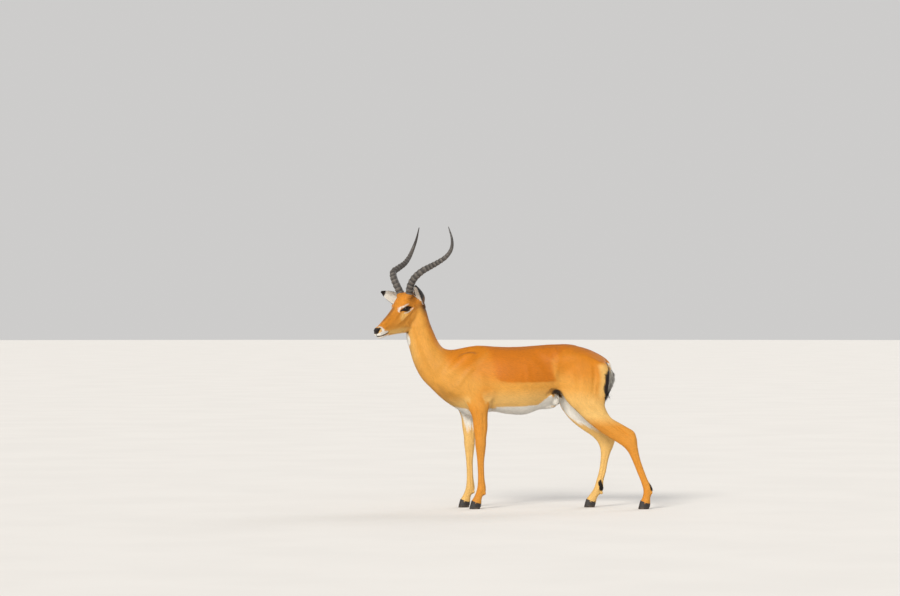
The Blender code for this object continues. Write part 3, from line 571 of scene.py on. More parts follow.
BODY_STROKES = metres([
    # name, side, then rows of (x, z, radius, height)
    ("groin pocket", "both", (192, 590, 16, -6), (216, 604, 22, -20), (244, 596, 20, -16),
     (262, 570, 14, -6)),
    ("buttock", "both", (478, 735, 36, 6), (480, 665, 36, 7), (478, 600, 30, 4)),
    ("spine of the shoulder blade", "both", (-126, 802, 16, 1.5), (-208, 728, 20, 4), (-276, 638, 22, 3)),
    ("hollow behind the shoulder", "both", (-90, 800, 35, -1.5), (-120, 710, 48, -5.5), (-118, 630, 36, -4)),
    ("hollow before the shoulder", "both", (-265, 800, 30, -3), (-335, 745, 30, -6), (-385, 680, 28, -4)),
    ("point of the shoulder", "both", (-352, 648, 36, 5.5), (-325, 612, 30, 4.5)),
    ("triceps", "both", (-165, 680, 45, 4), (-140, 600, 40, 6.5)),
    ("groove before the triceps", "both", (-235, 665, 18, -2.5), (-195, 590, 18, -4.5), (-165, 550, 14, -3)),
    ("elbow", "left", (-112, 562, 18, 5)),
    ("elbow", "right", (-169, 562, 18, 5)),
    ("fold behind the elbow", "left", (-78, 610, 16, -2), (-90, 552, 15, -7), (-106, 512, 13, -5)),
    ("breast groove", "both", (-398, 640, 22, -3), (-352, 580, 20, -3)),
    ("flank hollow", "both", (135, 795, 40, -4.5), (192, 735, 42, -7), (200, 690, 30, -4)),
    ("costal arch", "both", (150, 610, 20, 1), (95, 665, 24, 2.8), (82, 740, 24, 1.5)),
    ("point of the hip", "both", (236, 812, 30, 6.5), (246, 770, 22, 2)),
    ("edge of the thigh", "both", (240, 760, 18, 2), (233, 690, 18, 3.5), (236, 640, 16, 3)),
    ("flank fold", "both", (165, 640, 16, 2), (208, 600, 16, 4.5), (232, 575, 12, 4)),
    ("seam of the thigh", "both", (425, 770, 14, -1.5), (432, 690, 18, -4.5), (425, 610, 18, -3.5)),
    ("front seam of the thigh", "both", (330, 745, 22, -1), (345, 680, 26, -3.5), (352, 610, 22, -3.5)),
    ("seat bone", "both", (468, 745, 26, 4.5)),
    ("kneecap", "left", (292, 560, 26, 4.5), (318, 528, 20, 3)),
    ("kneecap", "right", (254, 552, 26, 4.5), (272, 512, 20, 3)),
    ("calf", "left", (430, 545, 34, 4.5), (470, 505, 26, 3.5)),
    ("calf", "right", (395, 545, 34, 4.5), (410, 500, 26, 3.5)),
    ("heel cord groove", "left", (478, 478, 13, -1.5), (528, 436, 12, -5.5), (585, 392, 10, -6),
     (612, 372, 8, -2)),
    ("heel cord groove", "right", (425, 470, 13, -1.5), (460, 430, 12, -5.5), (492, 388, 10, -6),
     (510, 360, 8, -2)),
    ("jugular groove", "both", (-512, 935, 18, -1), (-492, 850, 24, -4.5), (-450, 745, 26, -5.5),
     (-405, 665, 24, -3)),
    ("neck muscle", "both", (-452, 960, 26, 1.5), (-440, 880, 28, 3), (-405, 780, 30, 3)),
    ("edge of the nape", "both", (-415, 935, 14, -1.5), (-385, 860, 14, -2), (-345, 815, 14, -1.5)),
])
LEG_STROKES = [
    # legs, from front to back, rows of (section, share, radius, height)
    ("fore", ("elbow", 0.36, 0.012, -0.001), ("forearm", 0.36, 0.011, -0.003),
     ("lower forearm", 0.4, 0.009, -0.0026), ("above knee", 0.42, 0.007, -0.001)),
    ("fore", ("forearm", 0.7, 0.009, -0.002), ("lower forearm", 0.72, 0.008, -0.0022),
     ("above knee", 0.72, 0.006, -0.0012)),
    ("fore", ("above knee", 0.3, 0.012, 0.0012), ("knee", 0.34, 0.014, 0.0026),
     ("below knee", 0.34, 0.01, 0.001)),
    ("fore", ("knee", 0.88, 0.01, 0.0028)),
    ("fore", ("below knee", 0.64, 0.006, -0.0018), ("cannon", 0.62, 0.0055, -0.0028),
     ("lower cannon", 0.62, 0.0055, -0.0026), ("fetlock", 0.6, 0.005, -0.0008)),
    ("hind", ("below hock", 0.62, 0.006, -0.0018), ("hind cannon", 0.62, 0.0055, -0.0028),
     ("mid cannon", 0.62, 0.0055, -0.0028), ("low cannon", 0.62, 0.005, -0.0024),
     ("fetlock", 0.6, 0.005, -0.0008)),
    ("hind", ("point of hock", 0.9, 0.012, 0.0022), ("hock", 0.8, 0.011, 0.0015)),
    ("hind", ("hock", 0.28, 0.014, 0.0026), ("below hock", 0.3, 0.011, 0.0012)),
    ("hind", ("mid gaskin", 0.3, 0.014, 0.0022), ("lower gaskin", 0.3, 0.012, 0.002),
     ("above hock", 0.34, 0.01, 0.001)),
    ("both", ("fetlock", 0.5, 0.015, 0.0018)),
    ("both", ("pastern", 0.45, 0.01, -0.0012)),
    ("both", ("coronet", 0.4, 0.016, 0.0012)),
]
HEAD_STROKES = metres([
    # name, rows of (forward, up, radius, height), on both sides of the head
    ("brow", (34, 16, 13, 2), (12, 25, 14, 3.8), (-16, 24, 14, 3.4), (-34, 10, 12, 1.6)),
    ("hollow before the eye", (36, -4, 12, -2.4), (60, -14, 15, -3.6), (82, -16, 14, -1.8)),
    ("scent gland", (30, -10, 5, -1.6), (44, -18, 5, -2.2)),
    ("cheekbone", (72, -38, 12, 1.6), (36, -34, 13, 3.4), (-6, -30, 13, 3.6), (-44, -20, 12, 2.2)),
    ("hollow under the cheekbone", (84, -56, 18, -2.2), (52, -62, 18, -3), (30, -58, 14, -1.4)),
    ("edge of the jaw muscle", (30, -66, 9, 1.6), (28, -90, 10, 2.2), (6, -110, 12, 1.8)),
    ("jaw angle", (-30, -108, 22, 2.6)),
    ("side of the bridge", (160, 0, 12, -1.6), (120, 2, 14, -2.8), (80, 6, 15, -2.6)),
    ("temple", (-24, 34, 12, -2.2), (-50, 14, 14, -3.4), (-66, -4, 12, -2)),
    ("wing of the nostril", (206, 6, 8, 2.4), (192, 9.5, 8, 2.6), (180, 6, 7, 1.8)),
    ("muzzle pad", (196, -14, 13, 1.6), (176, -18, 14, 2.2)),
    ("chin", (204, -43, 10, 2.2), (186, -48, 11, 1.6)),
    ("bar of the jaw", (160, -52, 10, 0.8), (110, -76, 13, 1.6), (60, -100, 14, 1.6)),
])
FACE_LINES = metres([
    # drawn last, on the fine skin: name, rows of (forward, up, radius, height)
    ("nostril", (209, -3, 4.2, -4), (203, 2.5, 5, -6.5), (195.5, 5.5, 4.6, -5), (188, 4.5, 3.4, -2)),
    ("mouth", (216, -25, 3.6, -3.2), (202, -31.5, 3.6, -3.4), (183, -36.5, 3.6, -3.4),
     (162, -40.5, 3.4, -2.6), (148, -41, 2.6, -1)),
    ("upper lip", (213, -18, 6, 1.2), (196, -26, 6.2, 1.6), (170, -33, 6.2, 1)),
    ("lower lip", (209, -35, 5, 1.2), (190, -42.5, 5, 1.2), (168, -46.5, 5, 0.8)),
    ("corner of the mouth", (147, -44, 5, 1)),
])


def sculpt(item):
    """Muscles, folds and bones under the skin, drawn as strokes seen from the side."""
    points, normals = points_of(item), points_of(item, normals=True)
    side_view = points[:, [0, 2]].copy()
    (x, z), y = side_view.T, points[:, 1].copy()
    outer = (np.abs(normals[:, 1]) > 0.12) & (y * normals[:, 1] > 0)
    for _, side, *rows in BODY_STROKES:
        keep = outer if side == "both" else outer & (y * SIDES[side] > 0)
        stroke(points, normals, side_view, rows, keep)
    for rib in range(RIBS):
        top = -0.06 + 0.034 * rib
        rows = ((top, 0.775, 0.014, 0.0001), (top + 0.012, 0.7, 0.014, 0.0004),
                (top - 0.004, 0.61, 0.014, 0.0007))
        stroke(points, normals, side_view, rows, outer)
    for _, sections, side, shift, _ in FEET:
        kind = "fore" if sections is FORELEG else "hind"
        on_leg = (y * side > 0.02) & (z < 0.6) & (np.abs(normals[:, 1]) > 0.25)
        for legs, *rows in LEG_STROKES:
            if legs not in (kind, "both"):
                continue
            path = []
            for name, share, radius, height in rows:
                _, front, back, _, _ = section(sections, name)
                ahead = front[0] + (back[0] - front[0]) * share + shift
                path.append((ahead, front[1] + (back[1] - front[1]) * share, radius, height))
            stroke(points, normals, side_view, path, on_leg)
    reach = np.abs(y)
    rump = soft(z, 0.535, 0.6) * soft(z, 0.8, 0.755) * soft(x, 0.42, 0.47)
    points[:, 0] += 0.012 * rump * soft(reach, 0.028, 0.052) * (1 - 2.5 * soft(reach, 0.084, 0.122))
    spine = np.stack([points[:, 1], points[:, 0]], axis=1)
    upper = normals[:, 2] > 0.5
    stroke(points, normals, spine, ((0, -0.18, 0.018, 0.0015), (0, 0.05, 0.018, 0.0015),
                                    (0, 0.33, 0.02, 0.002)), upper)
    for side in (-1, 1):
        rows = ((side * 0.03, -0.1, 0.02, -0.0015), (side * 0.032, 0.1, 0.022, -0.002),
                (side * 0.03, 0.22, 0.018, -0.0015))
        stroke(points, normals, spine, rows, upper)
    move_points(item, points)
    sculpt_face(item, HEAD_STROKES)


def sculpt_face(item, strokes):
    points, normals = points_of(item), points_of(item, normals=True)
    forward, up, left = head_place(points)
    on_face = (np.abs(left) < 0.085) & (np.abs(left) > 0.002) & (left * (normals @ ASIDE) > -0.0005)
    on_face &= (forward > -0.14) & (up > -0.16) & (up < 0.08)
    for _, *rows in strokes:
        stroke(points, normals, np.stack([forward, up], axis=1), rows, on_face)
    move_points(item, points)


def wrap_lids(item, radius, opening, lid):
    """Folds the skin round each eyeball: open in the almond, a lid's thickness over the ball at its rim."""
    points = points_of(item)
    for left in BOTH:
        centre = eye_centre(left)
        offset = points - centre
        a, b, out = offset @ LID_LENGTH, offset @ LID_HEIGHT, offset @ (ASIDE * left)
        half = opening[1] * np.where(b > 0, 1.0, 0.85)
        curve = np.clip(1 - np.abs(a / opening[0]) ** 1.9, 0.0, 1)
        almond = np.maximum(np.abs(b) / half - curve, (np.abs(a) / opening[0] - 1) * 1.2)
        near = (out > -0.002) & (almond < 1.3) & (np.linalg.norm(offset, axis=1) < radius * 2.2)
        ball_way = unit(offset)
        rim = radius + lid * (1 - 0.45 * soft(almond, 0.25, 0.9))
        depth = radius - SOCKET + (rim - radius + SOCKET) * soft(almond, -0.1, 0.1)
        hold = 1 - soft(almond, 0.35, 1.25)
        target = centre + ball_way * depth[:, None]
        inside = near & (almond < 0)
        points[near] += ((target - points) * hold[:, None])[near]
        crease = near & ~inside
        fold = np.exp(-(((almond - 0.62) / 0.16) ** 2)) * 0.0012 * soft(b, -0.002, 0.006)
        points[crease] -= (ball_way * fold[:, None])[crease]
    move_points(item, points)


def make_skin(settings):
    legs = [lofted(leg_rings(sections, side, shift)) for _, sections, side, shift, _ in FEET]
    ears = [lofted(ear_rings(left)) for left in BOTH]
    skin = joined("skin", [body_core(), *legs, lofted(tail_rings()), *head_forms(), *dewclaws(), *purse(),
                           *ears])
    one_surface(skin, settings.voxel * (1))
    points = points_of(skin)
    forward, up, left = head_place(points)
    face = soft(forward, -0.02, 0.04) * soft(up, -0.2, -0.1) * (np.abs(left) < 0.09)
    behind_jaw = blob(forward, -0.045, 0.05, up, -0.105, 0.05)
    nape = blob(forward, -0.115, 0.04, up, 0.01, 0.06)
    legs_low = 1 - soft(points[:, 2], 0.42, 0.55)
    ear = near_ears(points)
    weight = 0.75 - 0.45 * face - 0.35 * legs_low + 0.6 * behind_jaw + 0.5 * nape
    smooth_by(skin, weight * (1 - 0.75 * ear), 14)
    sculpt(skin)
    smooth_by(skin, 0.5 - 0.35 * near_ears(points_of(skin)), 3)
    x, _, z = points_of(skin).T
    croup, withers = blob(x, 0.43, 0.055, z, 0.775, 0.045), blob(x, -0.205, 0.065, z, 0.805, 0.05)
    smooth_by(skin, 1.2 * np.maximum(croup, withers), 70)
    inset(skin, settings.coat_depth)
    points = points_of(skin)
    points[:, 2] = np.maximum(points[:, 2], SKIN_LOWEST)
    move_points(skin, points)
    refine_face(skin)
    wrap_lids(skin, settings.eye_radius, settings.eye_opening, settings.lid)
    sculpt_face(skin, FACE_LINES)
    detail = face_detail(points_of(skin))
    kept = skin.vertex_groups.new(name="spare")
    for level in range(1, 11):
        chosen = np.flatnonzero(np.round((1 - detail) * 10).astype(int) == level)
        kept.add(chosen.tolist(), level / 10, "REPLACE")
    count = sum(len(face.vertices) - 2 for face in skin.data.polygons)
    fewer = skin.modifiers.new("fewer faces", "DECIMATE")
    fewer.ratio = min(1.0, settings.triangles / count)
    fewer.vertex_group = kept.name
    fewer.vertex_group_factor = 1.0
    bake_modifiers(skin)
    skin.vertex_groups.clear()
    return skin


def face_detail(points):
    """1 round the eyes, nostrils and lips, where the skin needs its finest faces."""
    forward, up, left = head_place(points)
    found = soft(forward, 0.135, 0.15) * (np.abs(left) < 0.05) * (np.abs(up + 0.02) < 0.06)
    for side in BOTH:
        away = np.linalg.norm(points - eye_centre(side) - ASIDE * side * 0.012, axis=1)
        found = np.maximum(found, soft(away, 0.04, 0.032))
    return found


def refine_face(item):
    """Splits the faces round the eyes, nostrils and lips into four."""
    chosen = face_detail(points_of(item)) > 0.5
    work = bmesh.new()
    work.from_mesh(item.data)
    edges = [edge for edge in work.edges if chosen[edge.verts[0].index] and chosen[edge.verts[1].index]]
    bmesh.ops.subdivide_edges(work, edges=edges, cuts=1, use_grid_fill=True, smooth=0.6)
    bmesh.ops.triangulate(work, faces=[face for face in work.faces if len(face.verts) > 4])
    work.to_mesh(item.data)
    work.free()


def ear_root(left):
    return on_head(*EAR_ROOT[:2], left * EAR_ROOT[2])


def ear_place(points, normals, left):
    """How far along the ear each point is, and how far it faces out of the hollow."""
    along, _, hollow = ear_axes(left)
    return (points - ear_root(left)) @ along / EAR_LENGTH, normals @ hollow


def near_ears(points):
    """1 on the ears, fading into the head at their roots."""
    found = np.zeros(len(points))
    for left in BOTH:
        leaf = ear_rings(left, 4, 12)
        leaf = ((leaf[:, :12] + leaf[:, :11:-1]) / 2).reshape(-1, 3)
        root = ear_root(left)
        share = ear_place(points, points, left)[0]
        near = np.flatnonzero((np.linalg.norm(points - root, axis=1) < EAR_LENGTH * 1.1) & (share > 0))
        away = np.full(len(near), 1.0)
        for spot in leaf:
            away = np.minimum(away, np.linalg.norm(points[near] - spot, axis=1))
        found[near] = np.maximum(found[near], soft(away, 0.013, 0.0075) * soft(share[near], 0.08, 0.2))
    return found


def inset(item, depth):
    """Draws the skin in by the depth of the coat: full on trunk and neck, little on face, ears and shins."""
    points, normals = points_of(item), points_of(item, normals=True)
    forward, up, _ = head_place(points)
    thick = soft(points[:, 2], 0.36, 0.6)
    thick *= 1 - 0.7 * soft(forward, -0.1, -0.02) * soft(up, -0.2, -0.1)
    thick *= 1 - 0.85 * near_ears(points)
    points -= normals * (depth * (0.22 + 0.78 * thick))[:, None]
    move_points(item, points)


# ---- where each point of the skin lies, which way its hair runs, and how it is marked ----
def axis_of(rings):
    centre = (rings.min(axis=1) + rings.max(axis=1)) / 2
    spread = np.linalg.norm(rings - centre[:, None], axis=2).mean(axis=1)
    up = unit(rings[:, 0] - centre)
    return centre, spread, up


def parts_of_body():
    """Name, axis and way of the hair along it, for each part that has a run of its own."""
    parts = [("body", body_rings(2, 24), -1), ("head", head_rings(3, 24), -1)]
    parts += [(name, leg_rings(sections[1:], side, shift, 2, 24), 1)
              for name, sections, side, shift, _ in FEET]
    parts.append(("tail", tail_rings(2, 24), 1))
    return parts + [(f"ear_{label}", ear_rings(left, 2, 12)[3:], 1) for label, left in EAR_SIDES]


PART_NAMES = ["body", "head", *(foot[0] for foot in FEET), "tail", "ear_left", "ear_right"]
CHARTS = {
    # the place of each part on the unwrap: low u, low v, width, height
    "body": (0.01, 0.01, 0.98, 0.4),
    "head": (0.01, 0.43, 0.6, 0.2),
    "tail": (0.65, 0.43, 0.3, 0.09),
    "ear_left": (0.65, 0.54, 0.15, 0.1),
    "ear_right": (0.83, 0.54, 0.15, 0.1),
    "foreleg_left": (0.01, 0.66, 0.22, 0.32),
    "foreleg_right": (0.26, 0.66, 0.22, 0.32),
    "hindleg_left": (0.51, 0.66, 0.22, 0.32),
    "hindleg_right": (0.76, 0.66, 0.22, 0.32),
}


def survey(points):
    """For each point: its part, how far along and round it, and which way its hair runs."""
    count = len(points)
    nearness, alongs, turns, ways, spans = [], [], [], [], []
    for name, rings, way in parts_of_body():
        centre, spread, up = axis_of(rings)
        tangent = unit(np.gradient(centre, axis=0))
        length = np.r_[0, np.cumsum(np.linalg.norm(np.diff(centre, axis=0), axis=1))]
        best = np.full(count, np.inf)
        which = np.zeros(count, int)
        for k in range(len(centre)):
            away = np.linalg.norm(points - centre[k], axis=1) / spread[k]
            closer = away < best
            best[closer], which[closer] = away[closer], k
        offset = points - centre[which]
        ahead = np.einsum("ij,ij->i", offset, tangent[which])
        if name in ("ear_left", "ear_right"):
            best = np.where(near_ears(points) > 0.5, best * 0.05, 9.0)
        if name == "body":
            # the trunk keeps its place over the tops of the legs
            best = best * np.where(points[:, 2] > 0.56, 0.8, 1.0)
        if name == "tail":
            behind = (points[:, 0] > 0.492) & (np.abs(points[:, 1]) < 0.03) & (points[:, 2] > 0.5)
            best = best * np.where(behind, 0.5, 3)
        side = np.cross(tangent[which], up[which])
        turn = np.arctan2(np.einsum("ij,ij->i", offset, side), np.einsum("ij,ij->i", offset, up[which]))
        nearness.append(best)
        alongs.append(length[which] + ahead)
        turns.append(turn)
        ways.append(tangent[which] * way)
        spans.append((length[-1], spread[which]))
    nearness = np.array(nearness)
    part = nearness.argmin(axis=0)
    weight = np.exp(-4 * (nearness - nearness.min(axis=0)))
    hair_way = np.einsum("pn,pnk->nk", weight, np.array(ways))
    pick = np.arange(count)
    spread = np.array([span[1] for span in spans])[part, pick]
    sorted_near = np.sort(nearness, axis=0)
    border = soft(sorted_near[1] - sorted_near[0], 0.02, 0.16)
    total = np.array([span[0] for span in spans])[part]
    return part, np.array(alongs)[part, pick], np.array(turns)[part, pick], spread, total, hair_way, border


def to_path(where, rows):
    """Signed distance inside a path of rows (u, v, half width): positive inside."""
    rows = np.asarray(rows, float)
    best = np.full(len(where), -1.0)
    for start, stop in zip(rows, rows[1:]):
        run = stop[:2] - start[:2]
        share = np.clip((where - start[:2]) @ run / (run @ run), 0, 1)
        row = start + share[:, None] * (stop - start)
        best = np.maximum(best, row[:, 2] - np.linalg.norm(where - row[:, :2], axis=1))
    return best


def line(values, *rows):
    """Straight lines through rows of (place, level)."""
    return np.interp(values, *zip(*rows))


def legs_of(named):
    return named["foreleg_left"] | named["foreleg_right"] | named["hindleg_left"] | named["hindleg_right"]


FAR = -0.05  # the distance that stands for well outside a marking


def laid(marking, where, patch):
    """The marking with one more patch, which counts only where `where` holds."""
    return np.maximum(marking, np.where(where, patch, FAR))


def head_patches(head_view, names):
    return [to_path(head_view, HEAD_PATCHES[name]) for name in names]


HEAD_PATCHES = metres({
    # rows of (forward, up, half width)
    "jaw": ((150, -46, 8), (90, -82, 14), (30, -118, 16), (-20, -125, 16)),
    "spot before the eye": ((18, -18, 8), (34, -20, 12), (50, -30, 6)),
    "under the jaw": ((200, -56, 12), (120, -92, 12), (40, -134, 14), (-30, -140, 14)),
    "lips": ((214, -18, 9.5), (196, -22, 12), (178, -28, 9.5), (162, -33, 5)),
    "side of the nose": ((180, 10, 1.8), (179, 1, 3.4), (182, -11, 7)),
    "chin": ((212, -40, 10), (190, -50, 11), (165, -56, 8)),
    "brow": ((43, 5, 1.4), (41.5, 13, 3.2), (30, 20, 4), (14, 21.5, 3.8), (-3, 19, 2.6), (-16, 14.5, 0.8)),
    "under the eye": ((24, -12, 1.8), (10, -17.5, 3.6), (-10, -20, 3.6), (-27, -19, 1.2)),
    "nostril": ((213, -5, 5.6), (204, 3.5, 7.2), (195, 6.5, 6.4), (187, 6, 3.4)),
    "mouth": ((218, -25, 2.4), (202, -31.5, 2.4), (183, -36.5, 2.6), (162, -40.5, 2.2), (148, -41, 0.5)),
})
NOSE_PAD = metres(((0, -2.5, 7.8), (10.5, -1, 6)))  # rows of (left, up, half width)
LIP_CLEFT = metres(((0, -6, 6.2), (0, -15, 2.6), (0, -25, 1.6)))
EYE_CORNERS = metres((  # rows of (along the opening, across it, half width)
    (-35, 1, 0.8), (-27, 1, 4), (-16, 1, 7), (18, -1, 7.4),
    (29, -3, 4.6), (39, -6, 0.8)))
RUMP_STRIPE = metres((  # rows of (out, z, half width)
    (36, 766, 4), (66, 748, 9), (84, 700, 15), (88, 630, 14.5),
    (88, 585, 9), (86, 555, 1)))
# The groin folds get a dark patch of painted shade along these paths.
GROIN_LEFT = metres((  # rows of (x, z, half width)
    (203, 596, 3), (222, 608, 11), (242, 602, 13), (262, 576, 10), (286, 548, 4)))
GROIN_RIGHT = metres(((214, 602, 3), (232, 604, 9), (246, 594, 9), (258, 576, 3)))


def saddle_marks(x, y, z):
    """The dark saddle on the ribs: the distance over its lower edge, and how far along the back it spans."""
    edge = line(x, (-0.12, 0.716), (-0.092, 0.69), (-0.07, 0.668), (-0.03, 0.661), (0.1, 0.658), (0.2, 0.66),
                (0.26, 0.664))
    front = line(z, (0.66, -0.095), (0.72, -0.1), (0.8, -0.122), (0.86, -0.17))
    rear = line(z, (0.655, 0.226), (0.72, 0.208), (0.77, 0.2), (0.8, 0.24), (0.85, 0.3))
    far = soft(y, -0.02, 0.06)
    span = soft(x - front, -0.014 - 0.01 * far, 0.034 + 0.04 * far)
    span *= 1 - soft(x - rear, -0.014 - 0.03 * far, 0.012 + 0.06 * far)
    crest = soft(z, line(x, (0.24, 0.805), (0.46, 0.77)), line(x, (0.24, 0.845), (0.46, 0.81)))
    return z - edge, np.maximum(span, 0.55 * crest * soft(x, 0.16, 0.22))


def mark(item):
    """Stores the coat's markings: signed distances in metres to sharp edges, and soft masks from 0 to 1."""
    points, normals = points_of(item), points_of(item, normals=True)
    x, y, z = points.T
    forward, up, left = head_place(points)
    part, along, turn, spread, total, hair_way, border = survey(points)
    named = {name: part == k for k, name in enumerate(PART_NAMES)}
    side_view = np.stack([x, z], axis=1)
    head_view = np.stack([forward, up], axis=1)
    head, trunk, tail = named["head"], named["body"], named["tail"]
    legs = legs_of(named)
    out = np.sign(y) * normals[:, 1]
    off = np.full(len(points), FAR)
    saddle_edge, span = saddle_marks(x, y, z)

    # warm upper coat that fades towards the neck and down the haunch
    low = line(x, (-0.42, 0.8), (-0.33, 0.7), (-0.16, 0.62), (-0.1, 0.63), (0.19, 0.65), (0.24, 0.66),
               (0.45, 0.61))
    high = line(x, (-0.42, 0.92), (-0.33, 0.8), (-0.16, 0.73), (-0.1, 0.7), (0.19, 0.7), (0.24, 0.74),
                (0.45, 0.72))
    ruddy = soft(z, low, high)
    ruddy *= soft(x, -0.43, -0.31) * (0.8 + 0.2 * soft(z, 0.7, 0.82))
    # A paler streak down the front edge of the thigh: painted highlight on that ridge, taken out of the ruddy
    # coat.
    painted_highlight = to_path(side_view, ((0.2, 0.78, 0.006), (0.212, 0.72, 0.012), (0.232, 0.655, 0.014)))
    ruddy *= 1 - 0.45 * soft(painted_highlight, -0.016, 0.006)
    # A paler line down the spine of the shoulder blade: painted highlight on that ridge, taken out of the
    # ruddy coat.
    painted_highlight = to_path(side_view, ((-0.13, 0.806, 0.004), (-0.205, 0.732, 0.01), (-0.275, 0.64, 0.01)))
    ruddy *= 1 - 0.25 * soft(painted_highlight, -0.014, 0.004)
    rump_edge = line(z, (0.54, 0.458), (0.58, 0.472), (0.64, 0.484), (0.7, 0.486), (0.75, 0.476))
    beside_stripe = soft(x - rump_edge, -0.042, -0.016) * soft(z, 0.555, 0.6) * soft(z, 0.765, 0.735)
    beside_stripe *= soft(out, 0.1, 0.4)
    shin = soft(z, 0.6, 0.5) * (0.3 + 0.25 * soft(normals[:, 0], 0.5, -0.5)) * soft(out, -0.2, 0.5)
    ruddy = np.maximum(ruddy, shin * (z < 0.62))
    behind = soft(x, 0.4, 0.47) * soft(z, 0.52, 0.57) * soft(z, 0.8, 0.7)
    ruddy = np.maximum(ruddy, 0.5 * behind * (x > 0.3))
    # A darker, ruddier patch at each elbow: painted shade behind the upper arm.
    for elbow, on_side in ((-0.135, y < 0), (-0.19, y > 0)):
        ruddy = np.maximum(ruddy, 0.6 * blob(x, elbow, 0.045, z, 0.585, 0.06) * on_side)
    jaw_top = line(forward, (-0.1, -0.075), (-0.02, -0.098), (0.03, -0.088), (0.08, -0.062), (0.14, -0.036),
                   (0.18, -0.012), (0.19, 0.006))
    cheek = soft(up - jaw_top, -0.006, 0.016) * soft(forward, 0.202, 0.18)
    ruddy = np.where(head, cheek * (0.26 + 0.44 * soft(up, -0.052, 0.004)), ruddy)
    neck = soft(z, 0.78, 0.9) * trunk * (x < NECK_BASE)
    ruddy = np.maximum(ruddy, neck * soft(np.abs(turn), 1.0, 0.35) * 0.7)

    # paler coat: low flank, inside of the legs, cheeks and jaw
    pale = soft(z, line(x, (-0.3, 0.6), (-0.1, 0.64), (0.24, 0.645), (0.45, 0.64)),
                line(x, (-0.3, 0.54), (-0.1, 0.56), (0.24, 0.56), (0.45, 0.54)))
    pale *= trunk | named["hindleg_left"] | named["hindleg_right"]
    pale = np.where(z < 0.52, np.maximum(pale * soft(z, 0.42, 0.5), soft(out, 0.3, -0.2)), pale * 0.85)
    pale = np.maximum(pale, 0.85 * beside_stripe)
    ruddy *= 1 - 0.8 * beside_stripe
    jaw, spot = head_patches(head_view, ("jaw", "spot before the eye"))
    pale = np.where(head, np.maximum(soft(jaw, -0.008, 0.006), 0.62 * soft(spot, -0.012, 0.006)), pale)
    ruddy = np.where(head, ruddy * (1 - 0.8 * soft(spot, -0.014, 0.006)), ruddy)
    fore_neck = trunk * soft(z, 0.7, 0.8) * soft(np.abs(turn), 1.9, 2.7)
    pale = np.maximum(pale, 0.5 * fore_neck)

    # white: belly, groin, throat, lips, brow, rump
    belly_top = line(x, (-0.36, 0.552), (-0.3, 0.538), (-0.2, 0.512), (-0.105, 0.52), (-0.085, 0.5325),
                     (0.125, 0.533), (0.16, 0.56), (0.195, 0.588), (0.26, 0.61), (0.4, 0.6))
    white = np.where(trunk & (x > -0.34), belly_top - z, off)
    white = np.where((x > 0.205) & (out > -0.1), np.minimum(white, -0.004 - 0.03 * (out + 0.1)), white)
    bag = 0.037 - np.linalg.norm((points - PURSE) * (1, 0.5, 0.9), axis=1)
    white = np.where(bag > -0.004, np.maximum(white, bag), white)
    inner = off
    thigh = (x > 0.2) & (z < 0.66)
    for name, _, side, _, _ in FEET:
        chosen = (named[name] | (thigh & (y * side > 0))) & (np.abs(y) < 0.125)
        reach = line(z, (0.0, 1.3), (0.36, 1.25), (0.46, 0.75), (0.54, 0.35), (0.62, 0.15))
        inner = np.where(chosen, np.maximum(inner, (-normals[:, 1] * side - reach) * 0.03), inner)
    white = laid(white, legs | thigh, inner)
    rump = line(z, (0.55, 0.05), (0.6, 0.086), (0.7, 0.084), (0.735, 0.066), (0.765, 0.03)) - np.abs(y)
    white = laid(white, (x > 0.4) & (z < 0.765) & (z > 0.55) & (normals[:, 0] > 0.0), rump)
    throat = 0.034 - np.linalg.norm((points - (-0.548, -0.01, 0.884)) * (1, 1, 0.9), axis=1)
    white = laid(white, head | trunk, throat)
    for patch in head_patches(
            head_view, ("lips", "side of the nose", "chin", "brow", "under the eye", "under the jaw")):
        white = laid(white, head, patch)

    # black: nose, mouth, rims of the eyes, stripes of the rump, tail line, tufts over the hind fetlocks
    nostril, mouth = head_patches(head_view, ("nostril", "mouth"))
    halo = soft(nostril, -0.0085, -0.003) * head * (np.abs(left) > 0.007)
    pale = np.maximum(pale, halo)
    ruddy = ruddy * (1 - halo)
    front_view = np.stack([np.abs(left), up], axis=1)
    nose = np.maximum(to_path(front_view, NOSE_PAD), to_path(front_view, LIP_CLEFT))
    nose = np.minimum(nose, forward - 0.2045)
    rim_eye = off
    for label in BOTH:
        offset = points - eye_centre(label)
        length, height = offset @ LID_LENGTH, offset @ LID_HEIGHT
        ring = np.sqrt((length / 0.02) ** 2 + (height / np.where(height > 0, 0.0128, 0.0124)) ** 2)
        ring = np.maximum(0.002 - 0.0125 * (ring - 1),
                          to_path(np.stack([length, height], axis=1), EYE_CORNERS))
        rim_eye = laid(rim_eye, left * label > 0, ring)
    black = np.where(head, np.maximum.reduce([nostril, mouth, nose, rim_eye]), FAR)
    for side in (-1, 1):
        rows = [(side * across, level, half) for across, level, half in RUMP_STRIPE]
        stripe = to_path(np.stack([y, z], axis=1), rows)
        black = laid(black, (x > 0.42) & ~tail & (normals[:, 0] > 0.05), stripe)
    tail_line = np.minimum(0.007 - np.abs(y), (normals[:, 0] - 0.35) * 0.01) + 0.003 * soft(z, 0.64, 0.6)
    tail_line = laid(tail_line, z < 0.735, 0.0024 - np.abs(normals[:, 0] + 0.15) * 0.012)
    black = np.where(tail, np.where(z > TAIL_WHITE, FAR, tail_line), black)
    white = np.where(tail, np.clip(TAIL_WHITE - z, -0.01, 0.02), white)
    ruddy = np.where(tail, 0.6, ruddy)
    for name, sections, _, _, _ in FEET:
        if sections is not FORELEG:
            back_x, back_z = section(sections, "fetlock")[2]
